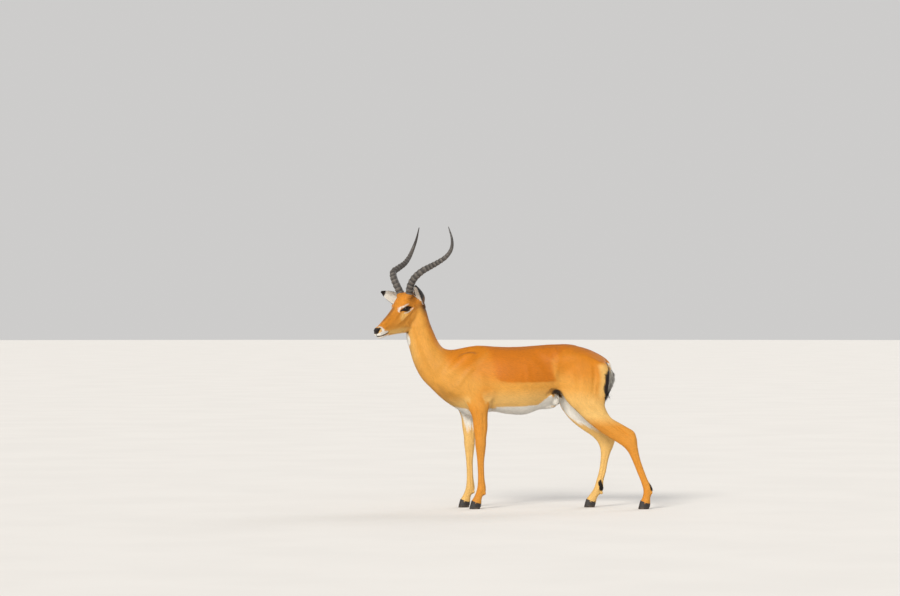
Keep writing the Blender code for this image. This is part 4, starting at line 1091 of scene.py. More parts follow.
            patch = to_path(side_view, ((back_x - 0.006, back_z + 0.016, 0.009),
                                        (back_x - 0.014, back_z + 0.05, 0.0075)))
            black = laid(black, named[name], patch)
    white = np.where((black > -0.003) & (x > 0.3) & ~tail, off, white)
    black = laid(black, legs, np.clip(0.031 - z, FAR, 0.02))

    # ears: a white hollow and black tips, with the backs darkened by painted shade
    dusk = np.zeros(len(points))
    for label, side in EAR_SIDES:
        chosen = named[f"ear_{label}"]
        share, inside = ear_place(points, normals, side)
        rim = soft(share, 0.42, 0.6)
        tip = np.maximum((share - 0.87) * 0.1, ((share - 0.42) * 0.1 - 0.04 * soft(inside, -0.4, -0.1)))
        # Painted shade darkens the backs of the ears over their ruddy coat; the dark rim towards the tips is
        # the ear's own colour.
        shade = np.maximum(0.85 * soft(inside, -0.12, -0.35), rim * 0.9 * soft(inside, 0.25, -0.1))
        white = np.where(chosen, (inside + 0.14 - 0.24 * rim) * 0.02, white)
        black, dusk = np.where(chosen, tip, black), np.where(chosen, shade, dusk)
        ruddy, pale = np.where(chosen, 0.5, ruddy), np.where(chosen, 0.0, pale)

    # dusky: ear roots, temples, feet of the horns, bridge of the nose and nape; painted shade in the groin
    # folds
    apart = np.abs(left)
    ear_base = blob(forward, -0.101, 0.03, up, -0.05, 0.034) * soft(apart, 0.018, 0.04)
    temple = blob(forward, -0.052, 0.024, up, 0.028, 0.026) * soft(apart, 0.026, 0.042)
    horn_foot = blob(forward, -0.062, 0.026) * soft(up, 0.042, 0.054) * soft(apart, 0.006, 0.016)
    shade = np.maximum.reduce([0.95 * ear_base, 0.36 * temple, 0.25 * horn_foot])
    dusk = np.where((head | trunk) & (z > 0.9), np.maximum(dusk, shade), dusk)
    ridge = soft(up, 0.006, 0.02) * soft(forward, 0.02, 0.06) * soft(forward, 0.175, 0.13) * soft(apart,
            0.018, 0.006)
    dusk = np.where(head, np.maximum(dusk, 0.42 * ridge), dusk)
    crest = trunk * soft(z, 0.9, 0.98) * soft(np.abs(turn), 0.7, 0.25) * (x < -0.3)
    dusk = np.maximum(dusk, 0.3 * crest)
    # Painted shade in the fold of each groin, round the purse; the white gives way to it there.
    groin = np.where(y > 0, to_path(side_view, GROIN_RIGHT), to_path(side_view, GROIN_LEFT))
    groin = soft(np.minimum(groin, 0.012 - bag), -0.002, 0.002) * (np.abs(y) < 0.105)
    dusk = np.maximum(dusk, groin)
    white = np.where(groin > 0.3, off, white)

    hair_way[:, 2] -= 0.45 * trunk * (np.abs(np.sin(turn)) ** 1.5) * soft(z, 0.86, 0.8)
    hair_way = unit(hair_way - normals * np.einsum("ij,ij->i", hair_way, normals)[:, None])
    length, density, lift = coat_measure(points, normals, named, black)
    for name, values in (("saddle_edge", np.clip(saddle_edge, FAR, 0.05)), ("saddle_span", span),
                         ("ruddy", ruddy), ("pale", pale), ("white", np.clip(white, FAR, 0.05)),
                         ("black", np.clip(black, FAR, 0.05)), ("dusk", dusk), ("calm", border),
                         ("hair_length", length), ("hair_density", density), ("hair_lift", lift)):
        attribute(item, name, values)
    attribute(item, "part", part, "INT")
    attribute(item, "lie", hair_way, "FLOAT_VECTOR")
    attribute(item, "grain", np.stack([along, turn * spread, part * 0.7], axis=1), "FLOAT_VECTOR")
    unwrap(item, part, along / total, turn / (2 * math.pi) + 0.5)


def coat_measure(points, normals, named, black):
    """Length of the hair in metres, how dense it grows, and how far it stands off, at each point."""
    x, _, z = points.T
    forward, up, _ = head_place(points)
    head, trunk, tail, legs = named["head"], named["body"], named["tail"], legs_of(named)
    breast = blob(x, -0.36, 0.1, z, 0.56, 0.07)
    length = np.where(trunk & (x < NECK_BASE), 0.019, 0.017) + 0.008 * breast
    lift = 0.045 + 0.06 * breast
    length += 0.008 * (trunk * soft(normals[:, 2], -0.4, -0.9) * soft(z, 0.6, 0.53))
    low = soft(z, 0.5, 0.3) * legs
    length = length * (1 - 0.45 * low)
    density = 1 + 1.2 * low
    length = np.where(head, 0.012 - 0.0065 * soft(forward, -0.08, 0.05), length)
    density = np.where(head, 1.4 + 2.2 * (head * soft(forward, -0.09, 0.0)), density)
    lift = np.where(head, 0.045, lift)
    jaw_crease = blob(forward, -0.045, 0.035, up, -0.12, 0.03)
    length *= 1 - 0.45 * jaw_crease
    lift *= 1 - 0.8 * jaw_crease
    density *= 1 - 0.9 * np.where(head, soft(forward, 0.186, 0.206), 0)
    for left in BOTH:
        density *= soft(np.linalg.norm(points - eye_centre(left), axis=1), 0.0205, 0.0265)
    density = np.where((black > 0.001) & head & (forward > 0.0), 0.0, density)
    length = np.where(head, length * (1 - 0.55 * soft(black, -0.009, -0.002)), length)

    def set_where(chosen, *measures):
        return (np.where(chosen, value, old) for value, old in zip(measures, (length, density, lift)))

    length, density, lift = set_where(named["ear_left"] | named["ear_right"], 0.0065, 2.8, 0.03)
    for label, side in EAR_SIDES:
        share, inside = ear_place(points, normals, side)
        deep = named[f"ear_{label}"] & (inside > 0.35)
        length, density, lift = set_where(deep, 0.015 - 0.006 * soft(share, 0.5, 0.9), density, 0.09)
    length, density, lift = set_where(
        tail, 0.015 + 0.028 * soft(z, 0.75, 0.66), 7.0, 0.05 + 0.11 * soft(z, 0.75, 0.7))
    for name, sections, _, _, _ in FEET:
        fetlock = section(sections, "fetlock")[2]
        tuft = named[name] & (normals[:, 0] > 0.2) & (np.abs(z - fetlock[1] + 0.004) < 0.018)
        length = np.where(tuft, 0.013, length)
        if sections is not FORELEG:
            length, density, lift = set_where(named[name] & (black > 0), 0.017, 5.0, 0.13)
    density *= soft(z, 0.03, 0.042)
    return length, density, lift


def unwrap(item, part, along, round_share):
    """Lays each part of the skin flat on its own chart, cut along its underside."""
    charts = np.array([CHARTS[name] for name in PART_NAMES])
    corner_point, starts = corners_of(item)
    face_of = np.repeat(np.arange(len(starts)), read(item.data.polygons, "loop_total", np.int32))
    first = corner_point[starts]
    u = round_share[corner_point]
    home = round_share[first][face_of]
    u = u + (home - u > 0.5) - (u - home > 0.5)
    chart = charts[part[first]][face_of]
    v = np.clip(along[corner_point], 0, 1)
    u, v = chart[:, 0] + np.clip(u, -0.02, 1.02) * chart[:, 2], chart[:, 1] + v * chart[:, 3]
    layer = item.data.uv_layers.new(name="spread")
    layer.uv.foreach_set("vector", np.stack([u, v], axis=1).astype(np.float32).ravel())


# ---- nodes ----
class Output:
    """A number that a node gives. Sums and products written with it become nodes."""

    def __init__(self, tree, socket):
        self.tree, self.socket = tree, socket

    def __add__(self, other):
        return maths(self.tree, "ADD", self, other)

    def __sub__(self, other):
        return maths(self.tree, "SUBTRACT", self, other)

    def __rsub__(self, other):
        return maths(self.tree, "SUBTRACT", other, self)

    def __mul__(self, other):
        return maths(self.tree, "MULTIPLY", self, other)

    def __truediv__(self, other):
        return maths(self.tree, "DIVIDE", self, other)


def join(tree, value, socket):
    """Sets a socket to a value, a tuple of three for a colour too, or links it to another node's output."""
    if isinstance(value, Output):
        value = value.socket
    if isinstance(value, bpy.types.Node):
        value = value.outputs[0]
    if isinstance(value, bpy.types.NodeSocket):
        tree.links.new(value, socket)
    else:
        socket.default_value = (*value, 1) if socket.type == "RGBA" and len(value) == 3 else value


def feed(tree, node, **inputs):
    """Joins each value to the input of that name. a_name stands for "A Name", i2 for the third input."""
    for name, value in inputs.items():
        key = int(name[1:]) if name[0] == "i" and name[1:].isdigit() else name.replace("_", " ").title()
        join(tree, value, node.inputs[key.replace("Ior", "IOR") if isinstance(key, str) else key])
    return node


def add(tree, kind, settings=None, **inputs):
    """A node with its settings, whose inputs are values or other nodes' outputs."""
    made = tree.nodes.new(kind)
    for name, value in (settings or {}).items():
        setattr(made, name, value)
    return feed(tree, made, **inputs)


def maths(tree, operation, *values):
    made = add(tree, "ShaderNodeMath", {"operation": operation})
    for value, socket in zip(values, made.inputs):
        join(tree, value, socket)
    return Output(tree, made.outputs[0])


def vectors(tree, operation, *values):
    made = add(tree, "ShaderNodeVectorMath", {"operation": operation})
    sockets = [made.inputs[0], made.inputs["Scale"]] if operation == "SCALE" else made.inputs
    for value, socket in zip(values, sockets):
        join(tree, value, socket)
    return Output(tree, made.outputs["Value" if operation in ("LENGTH", "DOT_PRODUCT") else "Vector"])


def combined(tree, x, y, z=0.0):
    return add(tree, "ShaderNodeCombineXYZ", None, x=x, y=y, z=z)


def separated(tree, vector):
    return [Output(tree, part) for part in add(tree, "ShaderNodeSeparateXYZ", None, vector=vector).outputs]


def ramp(tree, value, low, high, start=0.0, stop=1.0):
    """start below low, stop above high, smooth between."""
    made = add(tree, "ShaderNodeMapRange", {"interpolation_type": "SMOOTHSTEP"},
               i0=value, i1=low, i2=high, i3=start, i4=stop)
    return Output(tree, made.outputs[0])


def blended(tree, share, first, second):
    """Mixes two colours."""
    return add(tree, "ShaderNodeMix", {"data_type": "RGBA"}, i0=share, i6=first, i7=second).outputs[2]


def noise(tree, place, scale, detail=2.0, rough=0.5):
    made = add(tree, "ShaderNodeTexNoise", None, vector=place, scale=scale, detail=detail, roughness=rough)
    return Output(tree, made.outputs[0])


def stored(tree, name, output="Fac"):
    """A stored attribute, in a material."""
    return Output(tree, add(tree, "ShaderNodeAttribute", {"attribute_name": name}).outputs[output])


def object_place(tree):
    return add(tree, "ShaderNodeTexCoord").outputs["Object"]


def bump(tree, height, strength, distance):
    return add(tree, "ShaderNodeBump", None, strength=strength, distance=distance, height=height)


def socket(tree, name, kind, way="INPUT", default=None):
    made = tree.interface.new_socket(name, in_out=way, socket_type=f"NodeSocket{kind}")
    if default is not None:
        made.default_value = default


def given(tree):
    """The inputs of a node group, by name."""
    return {item.name: Output(tree, item) for item in add(tree, "NodeGroupInput").outputs}


def shared_group(name, draw):
    """The shader node group of this name, drawn when it isn't there yet."""
    tree = bpy.data.node_groups.get(name)
    if tree is None:
        tree = bpy.data.node_groups.new(name, "ShaderNodeTree")
        draw(tree)
    return tree


def finish_of(name, **fixed):
    """A material, its node tree and its shader, with the shader's even values."""
    made = bpy.data.materials.new(name)
    made.use_nodes = True
    tree = made.node_tree
    return made, tree, feed(tree, tree.nodes["Principled BSDF"], **fixed)


def scaled(colour, factor):
    return tuple(part * factor for part in colour)


COAT_COLOURS = ("tan", "ruddy", "saddle", "pale", "white", "black", "dusk")


def draw_markings(tree):
    """The colours of the coat, laid by the marks on the skin, with ragged edges."""
    socket(tree, "Place", "Vector")
    socket(tree, "Ragged", "Float", default=0.006)
    for name in COAT_COLOURS:
        socket(tree, name.title(), "Color")
    socket(tree, "Color", "Color", "OUTPUT")
    socket(tree, "Dark", "Float", "OUTPUT")
    inner = given(tree)
    place = inner["Place"]
    coarse = noise(tree, place, 38.0) - 0.5
    fine = noise(tree, place, 260.0, 1.0) - 0.5
    slow = noise(tree, place, 7.0) - 0.5
    rough_edge = (coarse + fine * 0.7) * inner["Ragged"]

    def edge(name, width, share=1.0):
        return ramp(tree, stored(tree, name) + rough_edge * share, -width, width)

    def mask(name, amount=0.35):
        clipped = maths(tree, "MINIMUM", maths(tree, "MAXIMUM", stored(tree, name) + slow * amount, 0.0), 1.0)
        return clipped * ramp(tree, stored(tree, name), 0.0, 0.15)

    black = edge("black", 0.0011, 0.22)
    colour = inner["Tan"]
    for name, share in (("Ruddy", mask("ruddy")),
                        ("Saddle", edge("saddle_edge", 0.0055) * mask("saddle_span", 0.15)),
                        ("Pale", mask("pale")), ("Dusk", mask("dusk")), ("White", edge("white", 0.0035)),
                        ("Black", black)):
        colour = blended(tree, share, colour, inner[name])
    vary = slow * 0.22 + 1.0 + coarse * 0.16
    add(tree, "NodeGroupOutput", None, color=vectors(tree, "SCALE", colour, vary), dark=black)


def draw_streaks(tree):
    """Fine streaks along the run of the hair: a shade and a height."""
    socket(tree, "Grain", "Vector")
    socket(tree, "Shade", "Float", "OUTPUT")
    socket(tree, "Height", "Float", "OUTPUT")
    grain = given(tree)["Grain"]
    thin, wide = (noise(tree, vectors(tree, "MULTIPLY", grain, counts), 1.0)
                  for counts in ((95.0, 900.0, 10.0), (38.0, 210.0, 10.0)))
    both = thin * 0.6 + wide * 0.4
    add(tree, "NodeGroupOutput", None, shade=both, height=(both - 0.5) * stored(tree, "calm") + 0.5)


def grouped(tree, name, draw, **inputs):
    return add(tree, "ShaderNodeGroup", {"node_tree": shared_group(name, draw)}, **inputs).outputs


def marked_colour(tree, place, settings):
    """The outputs of the markings group, in the coat's colours."""
    colours = {name: tuple(getattr(settings, name)) for name in COAT_COLOURS}
    return grouped(tree, "coat markings", draw_markings, place=place, ragged=0.006, **colours)


def skin_material(settings):
    made, tree, shader = finish_of(
        "short_coat", roughness=0.55, specular_ior_level=0.22, sheen_weight=0.05, sheen_roughness=0.45)
    place = object_place(tree)
    marks = marked_colour(tree, place, settings)
    streaks = grouped(tree, "hair streaks", draw_streaks, grain=stored(tree, "grain", "Vector"))
    light = ramp(tree, streaks["Shade"], 0.25, 0.75, 0.84, 1.1)
    pores = noise(tree, place, 700.0, 1.0)
    feed(tree, shader, base_color=vectors(tree, "SCALE", marks["Color"], light),
         normal=bump(tree, pores * 0.3 + streaks["Height"], 0.55, 0.0007),
         roughness=ramp(tree, marks["Dark"], 0.0, 1.0, 0.58, 0.36))
    return made


def tuft_material(settings):
    made, tree, shader = finish_of(
        "tufts", roughness=0.5, specular_ior_level=0.25, sheen_weight=0.05, sheen_roughness=0.4)
    marks = marked_colour(tree, stored(tree, "root", "Vector"), settings)
    shade = stored(tree, "shade")
    light = ramp(tree, stored(tree, "tip"), 0.0, 1.0, 0.9, 1.06) * ramp(tree, shade, 0.0, 1.0, 0.88, 1.1)
    own = vectors(tree, "SCALE", add(tree, "ShaderNodeNewGeometry").outputs["Normal"], 0.2)
    smooth = vectors(tree, "SCALE", stored(tree, "skin_normal", "Vector"), 0.8)
    feed(tree, shader, base_color=vectors(tree, "SCALE", marks["Color"], light),
         roughness=ramp(tree, shade, 0.0, 1.0, 0.46, 0.62),
         normal=vectors(tree, "NORMALIZE", vectors(tree, "ADD", own, smooth)))
    return made


def horn_material(settings):
    made, tree, shader = finish_of("horn_sheath", roughness=0.5, specular_ior_level=0.5)
    run, turn, ring = (stored(tree, name) for name in ("run", "turn", "ring"))
    lines = noise(tree, combined(tree, run * 30.0, turn * 60.0), 1.0, 3.0, 0.6)
    worn = noise(tree, object_place(tree), 60.0, 3.0)
    dark, light = tuple(settings.dark), tuple(settings.light)
    light = blended(tree, ramp(tree, worn, 0.35, 0.7), light, scaled(light, 0.62))
    ridge = ring + (lines - 0.5) * 0.6
    colour = blended(tree, ramp(tree, ridge, 0.0, 0.75), scaled(dark, 1.15), light)
    tip = ramp(tree, run, settings.tip_starts, settings.tip_starts + 0.12)
    feed(tree, shader, base_color=blended(tree, tip, colour, dark),
         roughness=ramp(tree, tip, 0.0, 1.0, 0.58, 0.3), normal=bump(tree, lines + worn * 0.6, 0.45, 0.0008))
    return made


def hoof_material(settings):
    made, tree, shader = finish_of("hoof_wall", roughness=0.4, specular_ior_level=0.5)
    place = object_place(tree)
    x, y, z = separated(tree, place)
    fibres = noise(tree, combined(tree, x * 900.0, y * 900.0, z * 60.0), 1.0)
    rings = noise(tree, vectors(tree, "MULTIPLY", place, (12.0, 12.0, 420.0)), 1.0)
    dust = noise(tree, place, 55.0, 3.0)
    dark = tuple(settings.colour)
    colour = blended(tree, ramp(tree, fibres, 0.35, 0.75), dark, scaled(dark, 2.2))
    low = ramp(tree, z, 0.016, 0.0) * ramp(tree, dust, 0.4, 0.65)
    feed(tree, shader, base_color=blended(tree, low * 0.5, colour, (0.16, 0.11, 0.07)),
         roughness=ramp(tree, dust, 0.3, 0.7, 0.34, 0.55),
         normal=bump(tree, rings + fibres * 0.35, 0.4, 0.0008))
    return made


def eye_material(settings):
    made, tree, shader = finish_of(
        "wet_eye", roughness=0.12, coat_weight=0.45, coat_roughness=0.02, specular_ior_level=0.08)
    x, y, _ = separated(tree, stored(tree, "gaze", "Vector"))
    level = combined(tree, x, y)
    away = vectors(tree, "LENGTH", level)
    spread = combined(tree, x / (settings.pupil[0] / 2), y / (settings.pupil[1] / 2))
    pupil = ramp(tree, vectors(tree, "LENGTH", spread), 0.9, 1.12, 1.0, 0.0)
    rays = noise(tree, vectors(tree, "NORMALIZE", level), 14.0, 3.0)
    colour = blended(tree, ramp(tree, rays, 0.35, 0.7), tuple(settings.iris), scaled(settings.iris, 0.5))
    for start, stop, ring in ((0.4, 0.5, (0.006, 0.004, 0.004)), (0.52, 0.6, (0.012, 0.009, 0.008))):
        edge = ramp(tree, away, settings.iris_width * start, settings.iris_width * stop)
        colour = blended(tree, edge, colour, ring)
    feed(tree, shader, base_color=blended(tree, pupil, colour, (0.002, 0.002, 0.003)))
    return made


def floor_material(settings):
    made, tree, shader = finish_of("pale_floor", roughness=0.85, specular_ior_level=0.2)
    cloud = ramp(tree, noise(tree, object_place(tree), 1.3, 3.0), 0.3, 0.7, 0.97, 1.0)
    feed(tree, shader, base_color=vectors(tree, "SCALE", tuple(settings.floor), cloud))
    return made


def wear(item, material):
    item.data.materials.clear()
    item.data.materials.append(material)


# ---- coat ----
REGIONS = {
    # name of the coat's piece, and a finish name that no step applies
    "trunk_left": "rufous_coat",
    "trunk_right": "rufous_coat",
    "neck": "tan_coat",
    "head": "rufous_coat",
    "forelegs": "rufous_coat",
    "hindlegs": "rufous_coat",
    "tail": "white_coat",
    "ears": "ear_coat",
}


def share_out(item, blades, most):
    """Gives every face to one piece of the coat, none with more than `most` blades; returns their names."""
    faces = item.data.polygons
    middle = read(faces, "center", size=3).reshape(-1, 3)
    corner_point, starts = corners_of(item)
    first = corner_point[starts]
    weight = read(faces, "area") * read(item.data.attributes["hair_density"].data, "value")[first]
    per_weight = blades / weight.sum()
    part = read(item.data.attributes["part"].data, "value", np.int32)[first]
    named = {name: part == k for k, name in enumerate(PART_NAMES)}
    body = named["body"]
    neck = body & (middle[:, 0] < NECK_BASE + SHIFT[0])
    left = middle[:, 1] < SHIFT[1]
    groups = {
        "trunk_left": body & ~neck & left,
        "trunk_right": body & ~neck & ~left,
        "neck": neck,
        "head": named["head"],
        "forelegs": named["foreleg_left"] | named["foreleg_right"],
        "hindlegs": named["hindleg_left"] | named["hindleg_right"],
        "tail": named["tail"],
        "ears": named["ear_left"] | named["ear_right"],
    }
    plot = np.zeros(len(faces), np.int32)
    names = []
    for name, chosen in groups.items():
        index = np.flatnonzero(chosen)
        index = index[np.argsort(middle[index, 0], kind="stable")]
        total = weight[index].sum() * per_weight
        pieces = max(1, math.ceil(total / (most * 0.97)))
        share = np.minimum((np.cumsum(weight[index]) * per_weight / total * pieces).astype(int), pieces - 1)
        for k in range(pieces):
            plot[index[share == k]] = len(names)
            label = f"coat_{name}" + (f"_{k + 1}" if pieces > 1 else "")
            names.append((label, REGIONS[name]))
    attribute(item, "plot", plot, "INT", "FACE")
    return names, per_weight


def field(tree, name, kind="FLOAT"):
    """A stored attribute, in geometry nodes."""
    return Output(tree, add(tree, "GeometryNodeInputNamedAttribute", {"data_type": kind}, i0=name).outputs[0])


def vector_field(tree, name):
    return field(tree, name, "FLOAT_VECTOR")


def position(tree):
    return add(tree, "GeometryNodeInputPosition")


def chance(tree, seed, kind="FLOAT", **limits):
    """A random value for each point: `i0` and `i1` are a vector's limits, `i2` and `i3` a number's."""
    made = add(tree, "FunctionNodeRandomValue", {"data_type": kind}, seed=seed, **limits)
    return Output(tree, made.outputs[1 if kind == "FLOAT" else 0])


def keep_as(tree, geometry, name, value, kind="FLOAT", domain="POINT"):
    settings = {"data_type": kind, "domain": domain}
    return add(tree, "GeometryNodeStoreNamedAttribute", settings, geometry=geometry, name=name,
               value=value).outputs[0]


def dressed(tree, geometry, inner):
    """Ends a geometry tree: shaded smooth, in the material that it was given."""
    geometry = add(tree, "GeometryNodeSetShadeSmooth", None, geometry=geometry)
    geometry = add(tree, "GeometryNodeSetMaterial", None, geometry=geometry, material=inner["Material"])
    add(tree, "NodeGroupOutput", None, geometry=geometry)


def geometry_tree(name, numbers, others):
    """A geometry node tree with its inputs, and those inputs by name."""
    tree = bpy.data.node_groups.new(name, "GeometryNodeTree")
    socket(tree, "Geometry", "Geometry")
    for label, default in numbers:
        socket(tree, label, "Float", default=default)
    for label, kind in others:
        socket(tree, label, kind)
    socket(tree, "Material", "Material")
    socket(tree, "Geometry", "Geometry", "OUTPUT")
    return tree, given(tree)


def one_blade(tree, arch):
    """One blade, from its root at the origin along Y, with Z away from the skin."""
    grid = add(tree, "GeometryNodeMeshGrid", None, size_x=1.0, size_y=1.0, vertices_x=2, vertices_y=3)
    x, y, _ = separated(tree, position(tree))
    run = y + 0.5
    narrow = (run * 2.6 + 0.7) * (1.0 - run)
    rise = run * (1.0 - run) * (arch * 4.0)
    blade = keep_as(tree, grid.outputs["Mesh"], "blade", combined(tree, x + 0.5, run), "FLOAT_VECTOR")
    blade = keep_as(tree, blade, "tip", run)
    return add(tree, "GeometryNodeSetPosition", None, geometry=blade,
               position=combined(tree, x * (narrow + 0.06), run, rise))


def coat_nodes():
    """Flat blades of hair that grow from one plot of the skin and lie along it."""
    tree, inner = geometry_tree("flat coat",
                                (("Blades per Area", 1000.0), ("Blade Width", 0.0013), ("Arch", 0.022),
                                 ("Disorder", 0.12), ("Waves", 0.5), ("Patch", 0.003)),
                                (("Plot", "Int"), ("Seed", "Int")))
    skin, seed = inner["Geometry"], inner["Seed"]
    blade = one_blade(tree, inner["Arch"])

    # roots
    here = add(tree, "FunctionNodeCompare", {"data_type": "INT", "operation": "EQUAL"},
               i2=field(tree, "plot", "INT"), i3=inner["Plot"])
    roots = add(tree, "GeometryNodeDistributePointsOnFaces", {"distribute_method": "RANDOM"}, mesh=skin,
                selection=here, seed=seed, density=field(tree, "hair_density") * inner["Blades per Area"])
    points = keep_as(tree, roots.outputs["Points"], "root", position(tree), "FLOAT_VECTOR")
    points = keep_as(tree, points, "shade", chance(tree, seed))
    root, normal = vector_field(tree, "root"), vector_field(tree, "skin_normal")

    # the way each blade lies
    wave = add(tree, "ShaderNodeTexNoise", None, vector=root, scale=26.0, detail=2.0).outputs["Color"]
    wave = vectors(tree, "SCALE", vectors(tree, "SUBTRACT", wave, (0.5, 0.5, 0.5)), inner["Waves"])
    stray = chance(tree, seed + 7, "FLOAT_VECTOR", i0=(-1, -1, -1), i1=(1, 1, 1))
    stray = vectors(tree, "SCALE", stray, inner["Disorder"])
    way = vectors(tree, "ADD", vector_field(tree, "lie"), vectors(tree, "ADD", wave, stray))
    upright = vectors(tree, "SCALE", normal, vectors(tree, "DOT_PRODUCT", way, normal))
    way = vectors(tree, "SUBTRACT", way, upright)
    lift = field(tree, "hair_lift") * ramp(tree, field(tree, "shade"), 0.0, 1.0, 0.5, 1.5)
    way = vectors(tree, "ADD", vectors(tree, "NORMALIZE", way), vectors(tree, "SCALE", normal, lift))
    turn = add(tree, "FunctionNodeAxesToRotation", {"primary_axis": "Y", "secondary_axis": "Z"}, i0=way,
               i1=normal)

    # size
    length = field(tree, "hair_length") * chance(tree, seed + 13, i2=0.75, i3=1.2)
    width = inner["Blade Width"] * ramp(tree, field(tree, "hair_length"), 0.004, 0.016, 0.55, 1.0)
    size = combined(tree, width, length, length)
    grown = add(tree, "GeometryNodeInstanceOnPoints", None, points=points, instance=blade, rotation=turn,
                scale=size)
    solid = add(tree, "GeometryNodeRealizeInstances", None, geometry=grown).outputs[0]

    # every point of a blade keeps its height, over the skin beneath it
    place = position(tree)
    height = vectors(tree, "DOT_PRODUCT", vectors(tree, "SUBTRACT", place, root), normal)
    beneath, facing = (
        add(tree, "GeometryNodeSampleNearestSurface", {"data_type": "FLOAT_VECTOR"}, mesh=skin, value=value)
        for value in (place, normal))
    above = vectors(tree, "SCALE", facing, maths(tree, "MAXIMUM", height, 0.0003))
    shift = vectors(tree, "SUBTRACT", vectors(tree, "ADD", beneath, above), place)
    shift = vectors(tree, "SCALE", shift, ramp(tree, field(tree, "hair_lift"), 0.15, 0.1))
    solid = keep_as(tree, solid, "shift", shift, "FLOAT_VECTOR")
    solid = keep_as(tree, solid, "skin_normal", facing, "FLOAT_VECTOR")
    solid = add(tree, "GeometryNodeSetPosition", None, geometry=solid, offset=vector_field(tree, "shift"))

    # each blade's patch at its root's place on the unwrap
    patch = vectors(tree, "SCALE", vector_field(tree, "blade"), inner["Patch"])
    patch = vectors(tree, "ADD", vector_field(tree, "spread"), patch)
    solid = keep_as(tree, solid, "OFBake", patch, "FLOAT2", "CORNER")
    for name in ("spread", "blade", "lie", "grain", "hair_length", "hair_density", "hair_lift", "calm",
                 "plot", "shift"):
        solid = add(tree, "GeometryNodeRemoveAttribute", None, geometry=solid, name=name)
    dressed(tree, solid, inner)
    return tree


def from_nodes(name, source, tree, **values):
    """The plain mesh that a node tree makes of the source's mesh."""
    carrier = linked(f"{name} carrier", source.data)
    modifier = carrier.modifiers.new(tree.name, "NODES")
    modifier.node_group = tree
    identifiers = {item.name: item.identifier for item in tree.interface.items_tree if item.in_out == "INPUT"}
    for key, value in values.items():
        modifier[identifiers[key.replace("_", " ").title().replace(" Per ", " per ")]] = value
    carrier.update_tag()
    graph = bpy.context.evaluated_depsgraph_get()
    made = bpy.data.meshes.new_from_object(carrier.evaluated_get(graph))
    carrier.modifiers.clear()
    bpy.data.objects.remove(carrier)
    made.name = name
    return linked(name, made)


# ---- eyes, horns and hooves ----
def make_eye(left, radius):
    """An eyeball with its cornea standing a little proud, looking out and slightly ahead."""
    look = unit(ASIDE * left + FACE * 0.22 + CROWN * 0.05)
    length = unit(LID_LENGTH)
    length = unit(length - look * (length @ look))
    height = unit(np.cross(look, length))
    height = height if height @ CROWN > 0 else -height
    turn = np.linspace(0.0, math.pi, 60)[1:-1]
    turn[0] = 0.004
    bulge = 0.0016 * (1 - soft(turn, 0.35, 0.8))
    reach = radius + bulge
    centres = eye_centre(left) + np.outer(np.cos(turn) * reach, look)
    around = np.outer(np.sin(turn) * reach, height)
    points, faces = lofted(ovals(centres, around, -around, np.outer(np.sin(turn) * reach, length), 2.0,
                                 2.0, 72))
    item = mesh_object(f"eyeball_{'left' if left > 0 else 'right'}", points, faces)
    offset = points - eye_centre(left)
    attribute(item, "gaze", np.stack([offset @ length, offset @ height, offset @ look], axis=1),
              "FLOAT_VECTOR")
    shade_smooth(item)
    move_points(item, points + SHIFT)
    return item


def horn_points(left, steps=8):
    back, out, up = through([row[1:] for row in HORN], steps).T
    return on_head(*HORN_SEAT, 0) + np.outer(back, -AHEAD) + np.outer(out, ASIDE * left) + np.outer(up,
            UPWARD)


def horn_nodes():
    """A ringed horn swept along a path: thick ridges in front, shallow ones behind, a smooth point."""
    tree, inner = geometry_tree(
        "ringed horn", (("Base Radius", 0.02), ("Tip Radius", 0.003), ("Taper", 1.6), ("Ring Spacing", 0.021),
                        ("Ring Height", 0.003), ("Rings End", 0.36), ("Sides", 36.0), ("Steps", 400.0)),
        (("Front", "Vector"),))
    path = add(tree, "GeometryNodeMeshToCurve", None, mesh=inner["Geometry"])
    path = add(tree, "GeometryNodeResampleCurve", None, curve=path, count=inner["Steps"])
    share = add(tree, "GeometryNodeSplineParameter").outputs
    path = keep_as(tree, path, "run", share["Length"])
    path = keep_as(tree, path, "run_share", share["Factor"])
    circle = add(tree, "GeometryNodeCurvePrimitiveCircle", None, resolution=inner["Sides"], radius=1.0)
    circle = keep_as(tree, circle, "turn", add(tree, "GeometryNodeSplineParameter").outputs["Factor"])
    run = field(tree, "run")
    base, rings_end = inner["Base Radius"], inner["Rings End"]
    narrowing = maths(tree, "POWER", field(tree, "run_share"), inner["Taper"])
    reach = (base + (inner["Tip Radius"] - base) * narrowing) * ramp(tree, run, 0.0, 0.034, 0.55, 1.0)
    swept = add(tree, "GeometryNodeCurveToMesh", None, curve=path, profile_curve=circle, fill_caps=True,
                scale=reach)
    sway = (noise(tree, position(tree), 22.0, 1.0) - 0.5) * 0.5
    beat = maths(tree, "FRACT", run / inner["Ring Spacing"] + sway)
    swell = maths(tree, "POWER", beat, 1.8) * (ramp(tree, beat, 1.0, 0.74) * 1.7)
    fade = ramp(tree, run, 0.012, 0.05) * ramp(tree, run, rings_end, rings_end * 0.72)
    facing = vectors(tree, "DOT_PRODUCT", add(tree, "GeometryNodeInputNormal"), inner["Front"])
    ring = swell * fade * ramp(tree, facing, -0.7, 0.6, 0.25, 1.0)
    geometry = keep_as(tree, swept, "ring", ring + (1.0 - fade) * 0.5)
    raised = (field(tree, "ring") - 0.35) * inner["Ring Height"]
    raised = vectors(tree, "SCALE", add(tree, "GeometryNodeInputNormal"), raised)
    geometry = add(tree, "GeometryNodeSetPosition", None, geometry=geometry, offset=raised)
    dressed(tree, add(tree, "GeometryNodeRealizeInstances", None, geometry=geometry), inner)
    return tree


